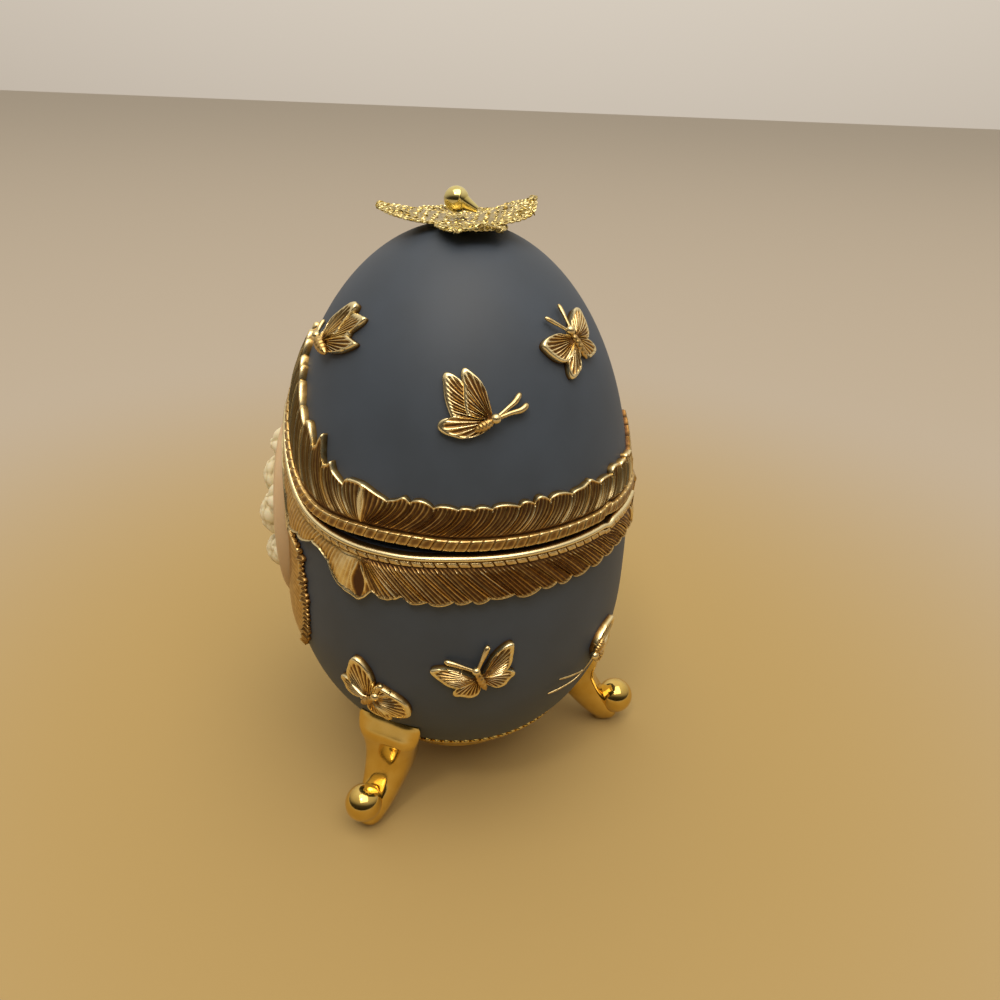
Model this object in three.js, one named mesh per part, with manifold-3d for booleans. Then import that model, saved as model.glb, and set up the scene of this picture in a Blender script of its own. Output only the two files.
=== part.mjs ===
// Jewelled egg trinket box, in millimetres.
// The egg stands on three ball feet. The front, with the cameo, faces -Y, the hinge faces +Y and +Z is up.
// The origin is on the table, under the axis of the egg.
import * as THREE from "three";
import { mergeVertices } from "three/addons/utils/BufferGeometryUtils.js";
import Module from "manifold-3d";

const wasm = await Module();
wasm.setup();

// Driving dimensions of the egg. Heights are above the table and angles are in degrees from the front.
const EGG_RADIUS = 31;
const WIDEST_Z = 41.6;
const UPPER_REACH = 58.6;
const UPPER_POWER = 2.4;
const LOWER_REACH = 37.4;
const LOWER_POWER = 2.32;
const WALL = 2.8;
const EGG_FLAT_Z = 9;
const TOP_Z = WIDEST_Z + UPPER_REACH;

// The seam between the lid and the base, which arches over the cameo and stands open a little at the sides.
const SEAM_Z = 60;
const ARCH_RISE = 12.3;
const ARCH_ANGLE = 30;
const ARCH_POWER = 2.5;
const GAP_CLOSED = 0.4;
const GAP_SIDE = 1.5;
const GAP_FROM = 42;
const GAP_TO = 145;

// The two bands of trim along the seam.
const BAND_COLUMNS = 66;
const BAND_END = 163;
const BAND_LIFT = 0.42;
const ROPE_WIDTH = 1.7;
const ROPE_LIFT = 1.6;
const LEAF_LIFT = 1.25;
const LID_BAND_WIDTH = 7;
const LID_ARCH_RISE = 16;
const LID_ARCH_ANGLE = 36.5;
const LID_ARCH_POWER = 2.1;
const BASE_BAND_WIDTH = 9.5;
const SCALLOP_COLUMNS = 3;
const PALMETTE_ANGLE = 61;

// The cameo on the front: a flat plaque let into the egg, its relief and its frame.
const CAMEO_Z = 50.7;
const BOUQUET_Z = 52.6;
const PLAQUE_WIDTH = 27.6;
const PLAQUE_HEIGHT = 34;
const PLAQUE_FRONT = 30.5;
const EGG_SHAVED_AT = 29.2;
const FRAME_TOP_WIDTH = 1.1;
const FRAME_SIDE_WIDTH = 4.8;
const FRAME_BOTTOM_WIDTH = 9;
const FRAME_ROOM = 2;
const FIELD_Z = 55;

// The stand: a shallow cup with three legs on ball feet.
const CUP_BOTTOM_Z = 7.2;
const CUP_RIM_Z = 15.6;
const CUP_WALL = 1;
const BALL_RADIUS = 3.2;
const BALL_Z = 5.9;
const BALL_REACH = 33;
const FRONT_LEG_TOP = 65.5;
const FRONT_LEG_FOOT = 61.5;

// The hinge at the back.
const HINGE_Y = 30.2;
const HINGE_Z = SEAM_Z;
const BARREL_RADIUS = 1.2;
const PIN_RADIUS = 0.55;
const HINGE_HALF = 7.6;
const LID_KNUCKLE_HALF = 2.5;
const HINGE_PLAY = 0.3;

// The finial: a ribbon rosette under a small ball.
const ROSETTE_RADIUS = 12.3;
const ROSETTE_THICKNESS = 1.5;
const BEAD_RADIUS = 1.95;
const BEAD_FORWARD = 0.9;

// Clearance between pieces that touch.
const CLEAR = 0.35;

const MATERIALS = {
  shell: { color: 0x5d6670, roughness: 0.55, metalness: 0 },
  trim: { color: 0xb08a44, roughness: 0.35, metalness: 1 },
  stand: { color: 0xd9a63f, roughness: 0.15, metalness: 1 },
  plaque: { color: 0xb59d7c, roughness: 0.6, metalness: 0 },
  relief: { color: 0xe6dcc6, roughness: 0.55, metalness: 0 },
  ribbon: { color: 0xd8c08a, roughness: 0.4, metalness: 0.6 },
};

const part = new THREE.Group();

function addMesh(name, geometry, material) {
  const mesh = new THREE.Mesh(geometry, new THREE.MeshStandardMaterial(MATERIALS[material]));
  mesh.name = name;
  part.add(mesh);
}

function radians(angle) {
  return (angle * Math.PI) / 180;
}

function smoothStep(low, high, value) {
  const share = Math.min(1, Math.max(0, (value - low) / (high - low)));
  return share * share * (3 - 2 * share);
}

// A closed surface from rings of points, one ring for each column.
// The columns close into a round, or else the first and the last are capped.
function solidFromRings(rings, closed) {
  const points = [];
  const known = new Map();
  const numberOf = (p) => {
    const key = [p.x, p.y, p.z].map((v) => Math.round(v * 1e4)).join();
    if (!known.has(key)) {
      known.set(key, points.length);
      points.push(p);
    }
    return known.get(key);
  };
  const ids = rings.map((ring) => ring.map(numberOf));
  let faces = [];
  const addFace = (a, b, c) => {
    if (a !== b && b !== c && c !== a) faces.push([a, b, c]);
  };
  const lastColumn = closed ? ids.length : ids.length - 1;
  for (let i = 0; i < lastColumn; i += 1) {
    const here = ids[i];
    const next = ids[(i + 1) % ids.length];
    here.forEach((start, j) => {
      const k = (j + 1) % here.length;
      addFace(start, next[j], next[k]);
      addFace(start, next[k], here[k]);
    });
  }
  if (!closed) {
    capFaces(rings[0]).forEach(([a, b, c]) => addFace(ids[0][a], ids[0][b], ids[0][c]));
    const end = ids[ids.length - 1];
    capFaces(rings[rings.length - 1]).forEach(([a, b, c]) => addFace(end[a], end[c], end[b]));
  }
  const volume = faces.reduce(
    (sum, [a, b, c]) => sum + points[a].dot(points[b].clone().cross(points[c])),
    0,
  );
  if (volume < 0) faces = faces.map(([a, b, c]) => [a, c, b]);
  const geometry = new THREE.BufferGeometry().setFromPoints(points);
  geometry.setIndex(faces.flat());
  geometry.computeVertexNormals();
  return geometry;
}

// Triangles that close the end of an open row of rings, turned like the ring itself.
function capFaces(ring) {
  const normal = new THREE.Vector3();
  ring.forEach((p, i) => {
    const q = ring[(i + 1) % ring.length];
    normal.add(p.clone().cross(q));
  });
  normal.normalize();
  const across = ring[1].clone().sub(ring[0]).projectOnPlane(normal).normalize();
  const along = normal.clone().cross(across);
  const flat = ring.map((p) => new THREE.Vector2(p.dot(across), p.dot(along)));
  return THREE.ShapeUtils.triangulateShape(flat, []);
}

// Joining and cutting of solids.
function toSolid(geometry) {
  const bare = geometry.clone();
  bare.deleteAttribute("normal");
  bare.deleteAttribute("uv");
  const merged = mergeVertices(bare, 1e-4);
  const mesh = new wasm.Mesh({
    numProp: 3,
    vertProperties: new Float32Array(merged.attributes.position.array),
    triVerts: new Uint32Array(merged.index.array),
  });
  return new wasm.Manifold(mesh);
}

function toGeometry(solid) {
  const mesh = solid.getMesh();
  const geometry = new THREE.BufferGeometry();
  geometry.setAttribute("position", new THREE.BufferAttribute(mesh.vertProperties, 3));
  geometry.setIndex(new THREE.BufferAttribute(mesh.triVerts, 1));
  geometry.computeVertexNormals();
  return geometry;
}

// The profile of the egg, and a point lifted off its surface.
function eggRadius(z, shrink = 0) {
  const above = z > WIDEST_Z;
  const reach = (above ? UPPER_REACH : LOWER_REACH) - shrink;
  const share = Math.min(1, Math.abs(z - WIDEST_Z) / reach);
  const power = above ? UPPER_POWER : LOWER_POWER;
  return (EGG_RADIUS - shrink) * Math.sqrt(1 - share ** power);
}

function eggSlope(z) {
  const step = 0.01;
  return (eggRadius(z + step) - eggRadius(z - step)) / (2 * step);
}

function aroundAxis(angle, radius, z) {
  const a = radians(angle);
  return new THREE.Vector3(radius * Math.sin(a), -radius * Math.cos(a), z);
}

function eggPoint(angle, z, lift) {
  const slope = eggSlope(z);
  const length = Math.hypot(1, slope);
  return aroundAxis(angle, eggRadius(z) + lift / length, z - (lift * slope) / length);
}

// The height of the seam round the egg, and of the edges on both sides of it.
function seamZ(angle) {
  const share = Math.abs(angle) / ARCH_ANGLE;
  return SEAM_Z + ARCH_RISE * Math.exp(-(share ** ARCH_POWER));
}

function seamGap(angle) {
  const share = (Math.abs(angle) - GAP_FROM) / (GAP_TO - GAP_FROM);
  if (share <= 0 || share >= 1) return GAP_CLOSED;
  return GAP_CLOSED + (GAP_SIDE - GAP_CLOSED) * Math.sin(Math.PI * share) ** 0.8;
}

function lidEdgeZ(angle) {
  return seamZ(angle) + seamGap(angle) / 2;
}

function baseEdgeZ(angle) {
  return seamZ(angle) - seamGap(angle) / 2;
}

// Columns of a shell, closer together at the front where the seam arches.
function shellAngles() {
  const columns = 44;
  return Array.from({ length: columns }, (_, i) => {
    const turn = (360 * i) / columns - 180;
    return turn - 20 * Math.sin(radians(turn));
  });
}

// Heights between two ends, closer together toward the second end.
function easedHeights(from, to, count) {
  return Array.from({ length: count }, (_, i) => {
    const share = i / (count - 1);
    return from + (to - from) * Math.sin((share * Math.PI) / 2);
  });
}

function lidShell() {
  const rings = shellAngles().map((angle) => {
    const edge = lidEdgeZ(angle);
    const outside = easedHeights(edge, TOP_Z, 8).map((z) => aroundAxis(angle, eggRadius(z), z));
    const inside = easedHeights(edge, TOP_Z - WALL, 6).map((z) => {
      return aroundAxis(angle, eggRadius(z, WALL), z);
    });
    return [...outside, ...inside.reverse()];
  });
  return solidFromRings(rings, true);
}

function baseShell() {
  const innerFlat = EGG_FLAT_Z + WALL;
  const rings = shellAngles().map((angle) => {
    const edge = baseEdgeZ(angle);
    const outside = easedHeights(edge, EGG_FLAT_Z, 8).map((z) => aroundAxis(angle, eggRadius(z), z));
    const inside = easedHeights(edge, innerFlat, 6).map((z) => {
      return aroundAxis(angle, eggRadius(z, WALL), z);
    });
    const middle = [aroundAxis(0, 0, EGG_FLAT_Z), aroundAxis(0, 0, innerFlat)];
    return [...outside, ...middle, ...inside.reverse()];
  });
  return solidFromRings(rings, true);
}

// The egg grown by a clearance, up to a height, to cut what is fitted against it.
function eggClearance(lift, highest, rows) {
  const heights = easedHeights(highest, EGG_FLAT_Z, rows);
  const rings = shellAngles().map((angle) => {
    const side = heights.map((z) => eggPoint(angle, z, lift));
    const bottom = aroundAxis(0, 0, EGG_FLAT_Z - lift);
    const corner = aroundAxis(angle, eggRadius(EGG_FLAT_Z) + lift, EGG_FLAT_Z - lift);
    return [aroundAxis(0, 0, highest), ...side, corner, bottom];
  });
  return toSolid(solidFromRings(rings, true));
}

// Everything in front of a plane, as wide as the plaque's opening.
function frontSlab(from, to) {
  const opening = ovalPrism(PLAQUE_WIDTH / 2 + CLEAR, PLAQUE_HEIGHT / 2 + CLEAR, from, to);
  return toSolid(opening);
}

// An upright oval, from one distance in front of the axis to another.
function ovalPrism(halfWidth, halfHeight, from, to) {
  const rings = Array.from({ length: 36 }, (_, i) => {
    const a = (i / 36) * 2 * Math.PI;
    const x = halfWidth * Math.cos(a);
    const z = CAMEO_Z + halfHeight * Math.sin(a);
    const ends = [new THREE.Vector3(0, -from, CAMEO_Z), new THREE.Vector3(x, -from, z)];
    return [...ends, new THREE.Vector3(x, -to, z), new THREE.Vector3(0, -to, CAMEO_Z)];
  });
  return solidFromRings(rings, true);
}

function barrelAlongX(radius, from, to) {
  const barrel = new THREE.CylinderGeometry(radius, radius, to - from, 12);
  barrel.rotateZ(Math.PI / 2);
  barrel.translate((from + to) / 2, HINGE_Y, HINGE_Z);
  return toSolid(barrel);
}

function boxBetween(low, high) {
  const size = high.map((v, i) => v - low[i]);
  const box = new THREE.BoxGeometry(...size);
  box.translate(...high.map((v, i) => (v + low[i]) / 2));
  return toSolid(box);
}

// The two halves of the egg, with a notch for the hinge and a flat for the plaque.
const hingeNotch = barrelAlongX(BARREL_RADIUS + CLEAR, -HINGE_HALF - CLEAR, HINGE_HALF + CLEAR);
addMesh("egg_lid", toGeometry(toSolid(lidShell()).subtract(hingeNotch)), "shell");
const baseBody = toSolid(baseShell()).subtract(hingeNotch).subtract(frontSlab(EGG_SHAVED_AT, 60));
addMesh("egg_base", toGeometry(baseBody), "shell");

// Angles that share the length of an edge evenly between the two ends of a band.
function evenAngles(edgeZ) {
  const steps = 1200;
  const angles = Array.from({ length: steps + 1 }, (_, i) => BAND_END * ((2 * i) / steps - 1));
  const places = angles.map((angle) => eggPoint(angle, edgeZ(angle), 0));
  const lengths = [0];
  places.slice(1).forEach((p, i) => lengths.push(lengths[i] + p.distanceTo(places[i])));
  const total = lengths[steps];
  return Array.from({ length: BAND_COLUMNS + 1 }, (_, i) => {
    const wanted = (total * i) / BAND_COLUMNS;
    const at = lengths.findIndex((length) => length >= wanted - 1e-9);
    return angles[at];
  });
}

// A band: a rope along the seam, a hollow beside it and a ribbed leaf edge with scallops.
function seamBand(innerZ, outerZ, way) {
  const innerAngles = evenAngles(innerZ);
  const outerAngles = evenAngles(outerZ);
  const rings = innerAngles.map((innerAngle, i) => {
    const outerAngle = outerAngles[i];
    const scallop = Math.abs(Math.sin((Math.PI * (i - BAND_COLUMNS / 2)) / SCALLOP_COLUMNS));
    const fan = Math.exp(-(((Math.abs(outerAngle) - PALMETTE_ANGLE) / 4.5) ** 2));
    const from = innerZ(innerAngle);
    const narrow = smoothStep(2.5, 5, Math.abs(outerZ(outerAngle) - from));
    const to = outerZ(outerAngle) + way * narrow * (0.8 * scallop + 1.4 * fan - 0.4);
    const width = eggPoint(innerAngle, from, 0).distanceTo(eggPoint(outerAngle, to, 0));
    const rope = Math.min(0.7, ROPE_WIDTH / width);
    const at = (share, lift) => {
      const angle = innerAngle + (outerAngle - innerAngle) * share;
      return eggPoint(angle, from + (to - from) * share, lift);
    };
    const rib = 0.16 * (i % 2 === 0 ? 1 : -1);
    return [
      at(0, BAND_LIFT),
      at(0, ROPE_LIFT - 0.35),
      at(rope * 0.5, ROPE_LIFT),
      at(rope, LEAF_LIFT - 0.35),
      at((1 + rope) / 2, LEAF_LIFT + rib * narrow + 0.3 * fan),
      at(1, LEAF_LIFT),
      at(1, BAND_LIFT),
    ];
  });
  return solidFromRings(rings, false);
}

function lidBandEdge(angle) {
  const share = Math.abs(angle) / LID_ARCH_ANGLE;
  return SEAM_Z + LID_BAND_WIDTH + LID_ARCH_RISE * Math.exp(-(share ** LID_ARCH_POWER));
}

// The base band's lower edge follows the cameo's frame down, runs level and then drops to the palmette.
function baseBandEdge(angle) {
  const turn = Math.abs(angle);
  const across = (0.95 * EGG_RADIUS * Math.sin(radians(turn))) / (PLAQUE_WIDTH / 2 + FRAME_ROOM);
  const rise = turn < 90 ? Math.sqrt(Math.max(0, 1 - across ** 2)) : 0;
  const besideCameo = CAMEO_Z + (PLAQUE_HEIGHT / 2 + FRAME_ROOM) * rise;
  const field = Math.max(besideCameo, FIELD_Z + smoothStep(33, 46, turn));
  const side = SEAM_Z - BASE_BAND_WIDTH + 0.037 * Math.max(0, turn - 60);
  return field + (side - field) * smoothStep(47, 58, turn);
}

addMesh("lid_band", seamBand(lidEdgeZ, lidBandEdge, 1), "trim");
addMesh("base_band", seamBand(baseEdgeZ, baseBandEdge, -1), "trim");

// The cameo: the plaque is cut behind to fit the egg, and the frame runs round it on the egg.
function plaqueSolid() {
  const block = ovalPrism(PLAQUE_WIDTH / 2, PLAQUE_HEIGHT / 2, 22, PLAQUE_FRONT);
  const egg = eggClearance(CLEAR, 75, 14).subtract(frontSlab(EGG_SHAVED_AT + CLEAR, 60));
  return toSolid(block).subtract(egg);
}

// Height of the bouquet above the plaque: a rose, smaller flowers round it and leaves between them.
function bouquetHeight(x, z) {
  const flowers = [[0, 0.5, 5.6, 4.1]];
  for (let i = 0; i < 5; i += 1) {
    const a = radians(90 + 72 * i);
    flowers.push([6.4 * Math.cos(a), 0.5 + 8.6 * Math.sin(a), 3.6, 2.7]);
  }
  const mound = 1.2 * Math.max(0, 1 - (x / 12.4) ** 2 - (z / 15) ** 2);
  return flowers.reduce((height, [fx, fz, radius, rise]) => {
    const away = Math.hypot(x - fx, z - fz) / radius;
    const dome = away < 1 ? rise * Math.sqrt(1 - away * away) : 0;
    return Math.max(height, dome);
  }, 0.35 + mound);
}

function bouquet() {
  const columns = 26;
  const steps = [1, 0.84, 0.66, 0.48, 0.28, 0];
  const back = PLAQUE_FRONT + CLEAR;
  const rings = Array.from({ length: columns }, (_, i) => {
    const a = (i / columns) * 2 * Math.PI;
    const edge = 1 - 0.08 * (i % 3 === 0 ? 1 : 0);
    const front = steps.map((share) => {
      const x = 11 * edge * share * Math.cos(a);
      const z = 13.2 * edge * share * Math.sin(a);
      return new THREE.Vector3(x, -back - bouquetHeight(x, z), BOUQUET_Z + z);
    });
    const rim = new THREE.Vector3(front[0].x, -back, front[0].z);
    return [new THREE.Vector3(0, -back, BOUQUET_Z), rim, ...front];
  });
  return solidFromRings(rings, true);
}

// The frame lies on the egg: a narrow strip at the top, a broad leafy border at the sides and below.
function cameoFrame() {
  const columns = 32;
  const rings = Array.from({ length: columns }, (_, i) => {
    const a = (i / columns) * 2 * Math.PI;
    const down = -Math.sin(a);
    const side = FRAME_TOP_WIDTH + (FRAME_SIDE_WIDTH - FRAME_TOP_WIDTH) * smoothStep(-0.16, 0.02, down);
    const width = side + (FRAME_BOTTOM_WIDTH - FRAME_SIDE_WIDTH) * smoothStep(0.05, 0.75, down);
    const notch = i % 2 === 0 ? 0 : -0.12 * FRAME_SIDE_WIDTH * smoothStep(-0.1, 0.1, down);
    const at = (out, lift) => {
      const x = (PLAQUE_WIDTH / 2 + out) * Math.cos(a);
      const z = CAMEO_Z + (PLAQUE_HEIGHT / 2 + out) * Math.sin(a);
      const angle = (Math.asin(x / eggRadius(z)) * 180) / Math.PI;
      return eggPoint(angle, z, lift);
    };
    const edge = 0.4 + width + notch;
    const middle = 0.4 + 0.5 * width;
    return [at(0.4, 0.4), at(0.4, 1.3), at(middle, 1.6), at(edge, 1), at(edge, 0.4), at(middle, 0.4)];
  });
  return solidFromRings(rings, true);
}

addMesh("cameo_plaque", toGeometry(plaqueSolid()), "plaque");
addMesh("cameo_relief", bouquet(), "relief");
addMesh("cameo_frame", cameoFrame(), "trim");

// Butterflies. A lobe is its direction from the head, its length and its half width, all seen from above.
const SPREAD_WINGS = [
  [0, 1.6, 18],
  [13, 6, 4],
  [-17, 5.6, 4],
  [62, 7.4, 36],
  [-62, 7.4, 36],
  [136, 5.9, 31],
  [-136, 5.9, 31],
  [180, 2.8, 16],
];
const FOLDED_WINGS = [
  [0, 1.5, 18],
  [-33, 5, 5],
  [-7, 4.8, 5],
  [-104, 8.2, 30],
  [-121, 9.3, 22],
  [-172, 8, 26],
];
const SWEPT_WINGS = [
  [0, 2.6, 20],
  [10, 6.2, 5],
  [24, 6.6, 5],
  [120, 7.4, 22],
  [149, 8, 16],
  [176, 7.2, 18],
  [216, 3.2, 20],
];
const SMALL_WINGS = [
  [0, 1.6, 18],
  [25, 5.2, 5],
  [-25, 5.2, 5],
  [70, 5.9, 36],
  [-70, 5.9, 36],
  [139, 6, 27],
  [-139, 6, 27],
  [180, 3.4, 12],
];

function wingRadius(lobes, direction) {
  return lobes.reduce((radius, [centre, length, half]) => {
    const turn = Math.abs(((direction - centre + 540) % 360) - 180);
    if (turn >= half) return radius;
    return Math.max(radius, length * Math.cos((turn / half) * (Math.PI / 2)) ** 0.5);
  }, 1.1);
}

function wingDirections(lobes) {
  const found = [];
  lobes.forEach(([centre, , half]) => {
    const shares = half < 24 ? [-1.1, 0, 1.1] : [-0.97, -0.6, 0, 0.6, 0.97];
    shares.forEach((share) => found.push((centre + share * half + 720) % 360));
  });
  const sorted = found.sort((a, b) => a - b);
  return sorted.filter((direction, i) => i === 0 || direction - sorted[i - 1] > 1.5);
}

// A butterfly set on the egg, with its head turned from straight up.
function butterfly(lobes, angle, z, turn) {
  const rise = 1 / Math.hypot(1, eggSlope(z));
  const at = (direction, reach, lift) => {
    const a = radians(90 + turn - direction);
    const height = z + reach * Math.sin(a) * rise;
    const sideways = (reach * Math.cos(a)) / eggRadius(height);
    return eggPoint(angle + (sideways * 180) / Math.PI, height, lift);
  };
  const rings = wingDirections(lobes).map((direction) => {
    const reach = wingRadius(lobes, direction);
    return [
      at(0, 0, 0.5),
      at(direction, reach, 0.5),
      at(direction, reach, 1.15),
      at(direction, reach * 0.4, 1.3),
      at(0, 0, 2.1),
    ];
  });
  return solidFromRings(rings, true);
}

function mirrored(geometry) {
  const points = [];
  const place = geometry.attributes.position;
  for (let i = 0; i < place.count; i += 1) {
    points.push(new THREE.Vector3(-place.getX(i), place.getY(i), place.getZ(i)));
  }
  const faces = Array.from(geometry.index.array);
  for (let i = 0; i < faces.length; i += 3) {
    const second = faces[i + 1];
    faces[i + 1] = faces[i + 2];
    faces[i + 2] = second;
  }
  const copy = new THREE.BufferGeometry().setFromPoints(points);
  copy.setIndex(faces);
  copy.computeVertexNormals();
  return copy;
}

// Three butterflies on each side of the lid and three on each side of the base.
const BUTTERFLIES = [
  ["butterfly_lid_front", SWEPT_WINGS, 31, 84.7, 100],
  ["butterfly_lid_side", FOLDED_WINGS, 103, 78.7, -75],
  ["butterfly_lid_back", SMALL_WINGS, 139, 86.8, 18.4],
  ["butterfly_base_front", SPREAD_WINGS, 64.6, 30.2, -45],
  ["butterfly_base_side", SPREAD_WINGS, 97.6, 37.8, 22],
  ["butterfly_base_back", SPREAD_WINGS, 145.5, 34.2, 125],
];
BUTTERFLIES.forEach(([name, lobes, angle, z, turn]) => {
  const right = butterfly(lobes, angle, z, turn);
  addMesh(name + "_right", right, "trim");
  addMesh(name + "_left", mirrored(right), "trim");
});

// The stand. A leg is a row of rings from its flared top to its flat toe, with a ball on the toe.
const LEG_STATIONS = [
  { z: 21.9, outer: 28.5, depth: 3, half: 6 },
  { z: 17.5, outer: 27.9, depth: 4.5, half: 5.5 },
  { z: 13, outer: 27.7, depth: 6.4, half: 4.8 },
  { z: 9, outer: 28.6, depth: 7, half: 4.1 },
  { z: 5.5, outer: 31, depth: 7, half: 3.4 },
  { z: 2.4, outer: 33.8, depth: 7, half: 2.9 },
  { z: 0, outer: 34, depth: 5.5, half: 2.2 },
];

function legSolid(topAngle, footAngle) {
  const top = LEG_STATIONS[0].z;
  const points = 10;
  const rings = LEG_STATIONS.map(({ z, outer, depth, half }) => {
    const angle = footAngle + ((topAngle - footAngle) * z) / top;
    return Array.from({ length: points }, (_, i) => {
      const a = (i / points) * 2 * Math.PI;
      const out = outer - depth / 2 + (depth / 2) * Math.cos(a);
      const place = new THREE.Vector3(half * Math.sin(a), -out, z);
      return place.applyAxisAngle(new THREE.Vector3(0, 0, 1), radians(angle));
    });
  });
  const ball = new THREE.SphereGeometry(BALL_RADIUS, 12, 8);
  ball.rotateX(Math.PI / 2);
  ball.translate(0, -BALL_REACH, BALL_Z);
  ball.rotateZ(radians(footAngle));
  return toSolid(solidFromRings(rings, false)).add(toSolid(ball));
}

function cupSolid() {
  const columns = 34;
  const rings = Array.from({ length: columns }, (_, i) => {
    const angle = (360 * i) / columns;
    const rim = CUP_RIM_Z + (i % 2 === 0 ? 0.35 : -0.35);
    const heights = [EGG_FLAT_Z + 0.4, 12.4, rim];
    const outside = heights.map((z) => eggPoint(angle, z, CLEAR + CUP_WALL));
    const inside = heights.map((z) => eggPoint(angle, z, CLEAR));
    const floor = EGG_FLAT_Z - CLEAR;
    const under = [aroundAxis(0, 0, CUP_BOTTOM_Z), aroundAxis(angle, 16.6, CUP_BOTTOM_Z)];
    const bed = [aroundAxis(angle, 16.2, floor), aroundAxis(0, 0, floor)];
    return [...under, ...outside, ...inside.reverse(), ...bed];
  });
  return toSolid(solidFromRings(rings, true));
}

const legs = [
  legSolid(FRONT_LEG_TOP, FRONT_LEG_FOOT),
  legSolid(180, 180),
  legSolid(-FRONT_LEG_TOP, -FRONT_LEG_FOOT),
];
const roomForEgg = eggClearance(CLEAR + CUP_WALL / 2, 26, 5);
const stand = legs.reduce((body, leg) => body.add(leg.subtract(roomForEgg)), cupSolid());
addMesh("egg_stand", toGeometry(stand), "stand");

// The hinge: a pointed leaf on each half, its knuckles, and the pin through them.
function hingeLeaf(from, tip) {
  const columns = 7;
  const rings = Array.from({ length: columns }, (_, i) => {
    const x = HINGE_HALF * ((2 * i) / (columns - 1) - 1) * 0.98;
    const end = from + (tip - from) * (0.45 + 0.55 * (1 - Math.abs(x / HINGE_HALF) ** 1.5));
    const at = (z, lift) => {
      const angle = 180 - (Math.asin(x / eggRadius(z)) * 180) / Math.PI;
      return eggPoint(angle, z, lift);
    };
    const middle = (from + end) / 2;
    return [at(from, 0.4), at(from, 1.15), at(middle, 1.3), at(end, 1), at(end, 0.4)];
  });
  return toSolid(solidFromRings(rings, false));
}

const pinHole = barrelAlongX(PIN_RADIUS + HINGE_PLAY, -20, 20);
const webFrom = HINGE_Y + 0.1;
const webTo = HINGE_Y + 0.9;
const lidWeb = boxBetween(
  [-LID_KNUCKLE_HALF, webFrom, HINGE_Z + 0.4],
  [LID_KNUCKLE_HALF, webTo, HINGE_Z + 2.2],
);
const lidKnuckle = barrelAlongX(BARREL_RADIUS, -LID_KNUCKLE_HALF, LID_KNUCKLE_HALF);
const lidLeaf = hingeLeaf(HINGE_Z + 1.6, HINGE_Z + 10.6).add(lidWeb).add(lidKnuckle).subtract(pinHole);
addMesh("hinge_lid_leaf", toGeometry(lidLeaf), "trim");

const knuckleFrom = LID_KNUCKLE_HALF + HINGE_PLAY;
let baseLeaf = hingeLeaf(HINGE_Z - 1.6, HINGE_Z - 7.8);
[[-HINGE_HALF, -knuckleFrom], [knuckleFrom, HINGE_HALF]].forEach(([from, to]) => {
  const web = boxBetween([from, webFrom, HINGE_Z - 2.2], [to, webTo, HINGE_Z - 0.4]);
  baseLeaf = baseLeaf.add(web).add(barrelAlongX(BARREL_RADIUS, from, to));
});
addMesh("hinge_base_leaf", toGeometry(baseLeaf.subtract(pinHole)), "trim");
addMesh("hinge_pin", toGeometry(barrelAlongX(PIN_RADIUS, -HINGE_HALF, HINGE_HALF)), "trim");

// The finial: five soft petals of ribbon that lift toward their tips, and a ball on the middle.
function rosette() {
  const columns = 30;
  const low = TOP_Z + 0.4;
  const rings = Array.from({ length: columns }, (_, i) => {
    const a = (i / columns) * 2 * Math.PI;
    const petal = 0.52 + 0.48 * Math.abs(Math.cos(2.5 * a)) ** 0.7;
    const at = (share, lift) => {
      const reach = ROSETTE_RADIUS * petal * share;
      const cup = 2.4 * (reach / ROSETTE_RADIUS) ** 2;
      return new THREE.Vector3(reach * Math.sin(a), -reach * Math.cos(a), low + cup + lift);
    };
    const full = ROSETTE_THICKNESS;
    return [at(0, 0), at(1, 0.3), at(1, 0.75 * full), at(0.55, full), at(0, full)];
  });
  return solidFromRings(rings, true);
}

addMesh("ribbon_rosette", rosette(), "ribbon");
const bead = new THREE.SphereGeometry(BEAD_RADIUS, 12, 8);
bead.rotateX(Math.PI / 2);
bead.translate(0, -BEAD_FORWARD, TOP_Z + 0.4 + ROSETTE_THICKNESS + CLEAR + BEAD_RADIUS);
addMesh("finial_bead", bead, "trim");

export default part;
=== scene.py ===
# %% [markdown]
# # A jewelled egg trinket box
# The box is an egg in slate-blue satin lacquer that opens at an arched seam. Gilt trim runs along the seam,
# gilt butterflies are set round the egg, a cameo is let into the front and a ribbon rosette sits on the
# crown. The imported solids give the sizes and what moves. This script puts a finely worked piece in the place
# of each.

# %% Load the frame
import math

import bmesh
import bpy
import numpy as np
from mathutils import Matrix, Vector


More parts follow.
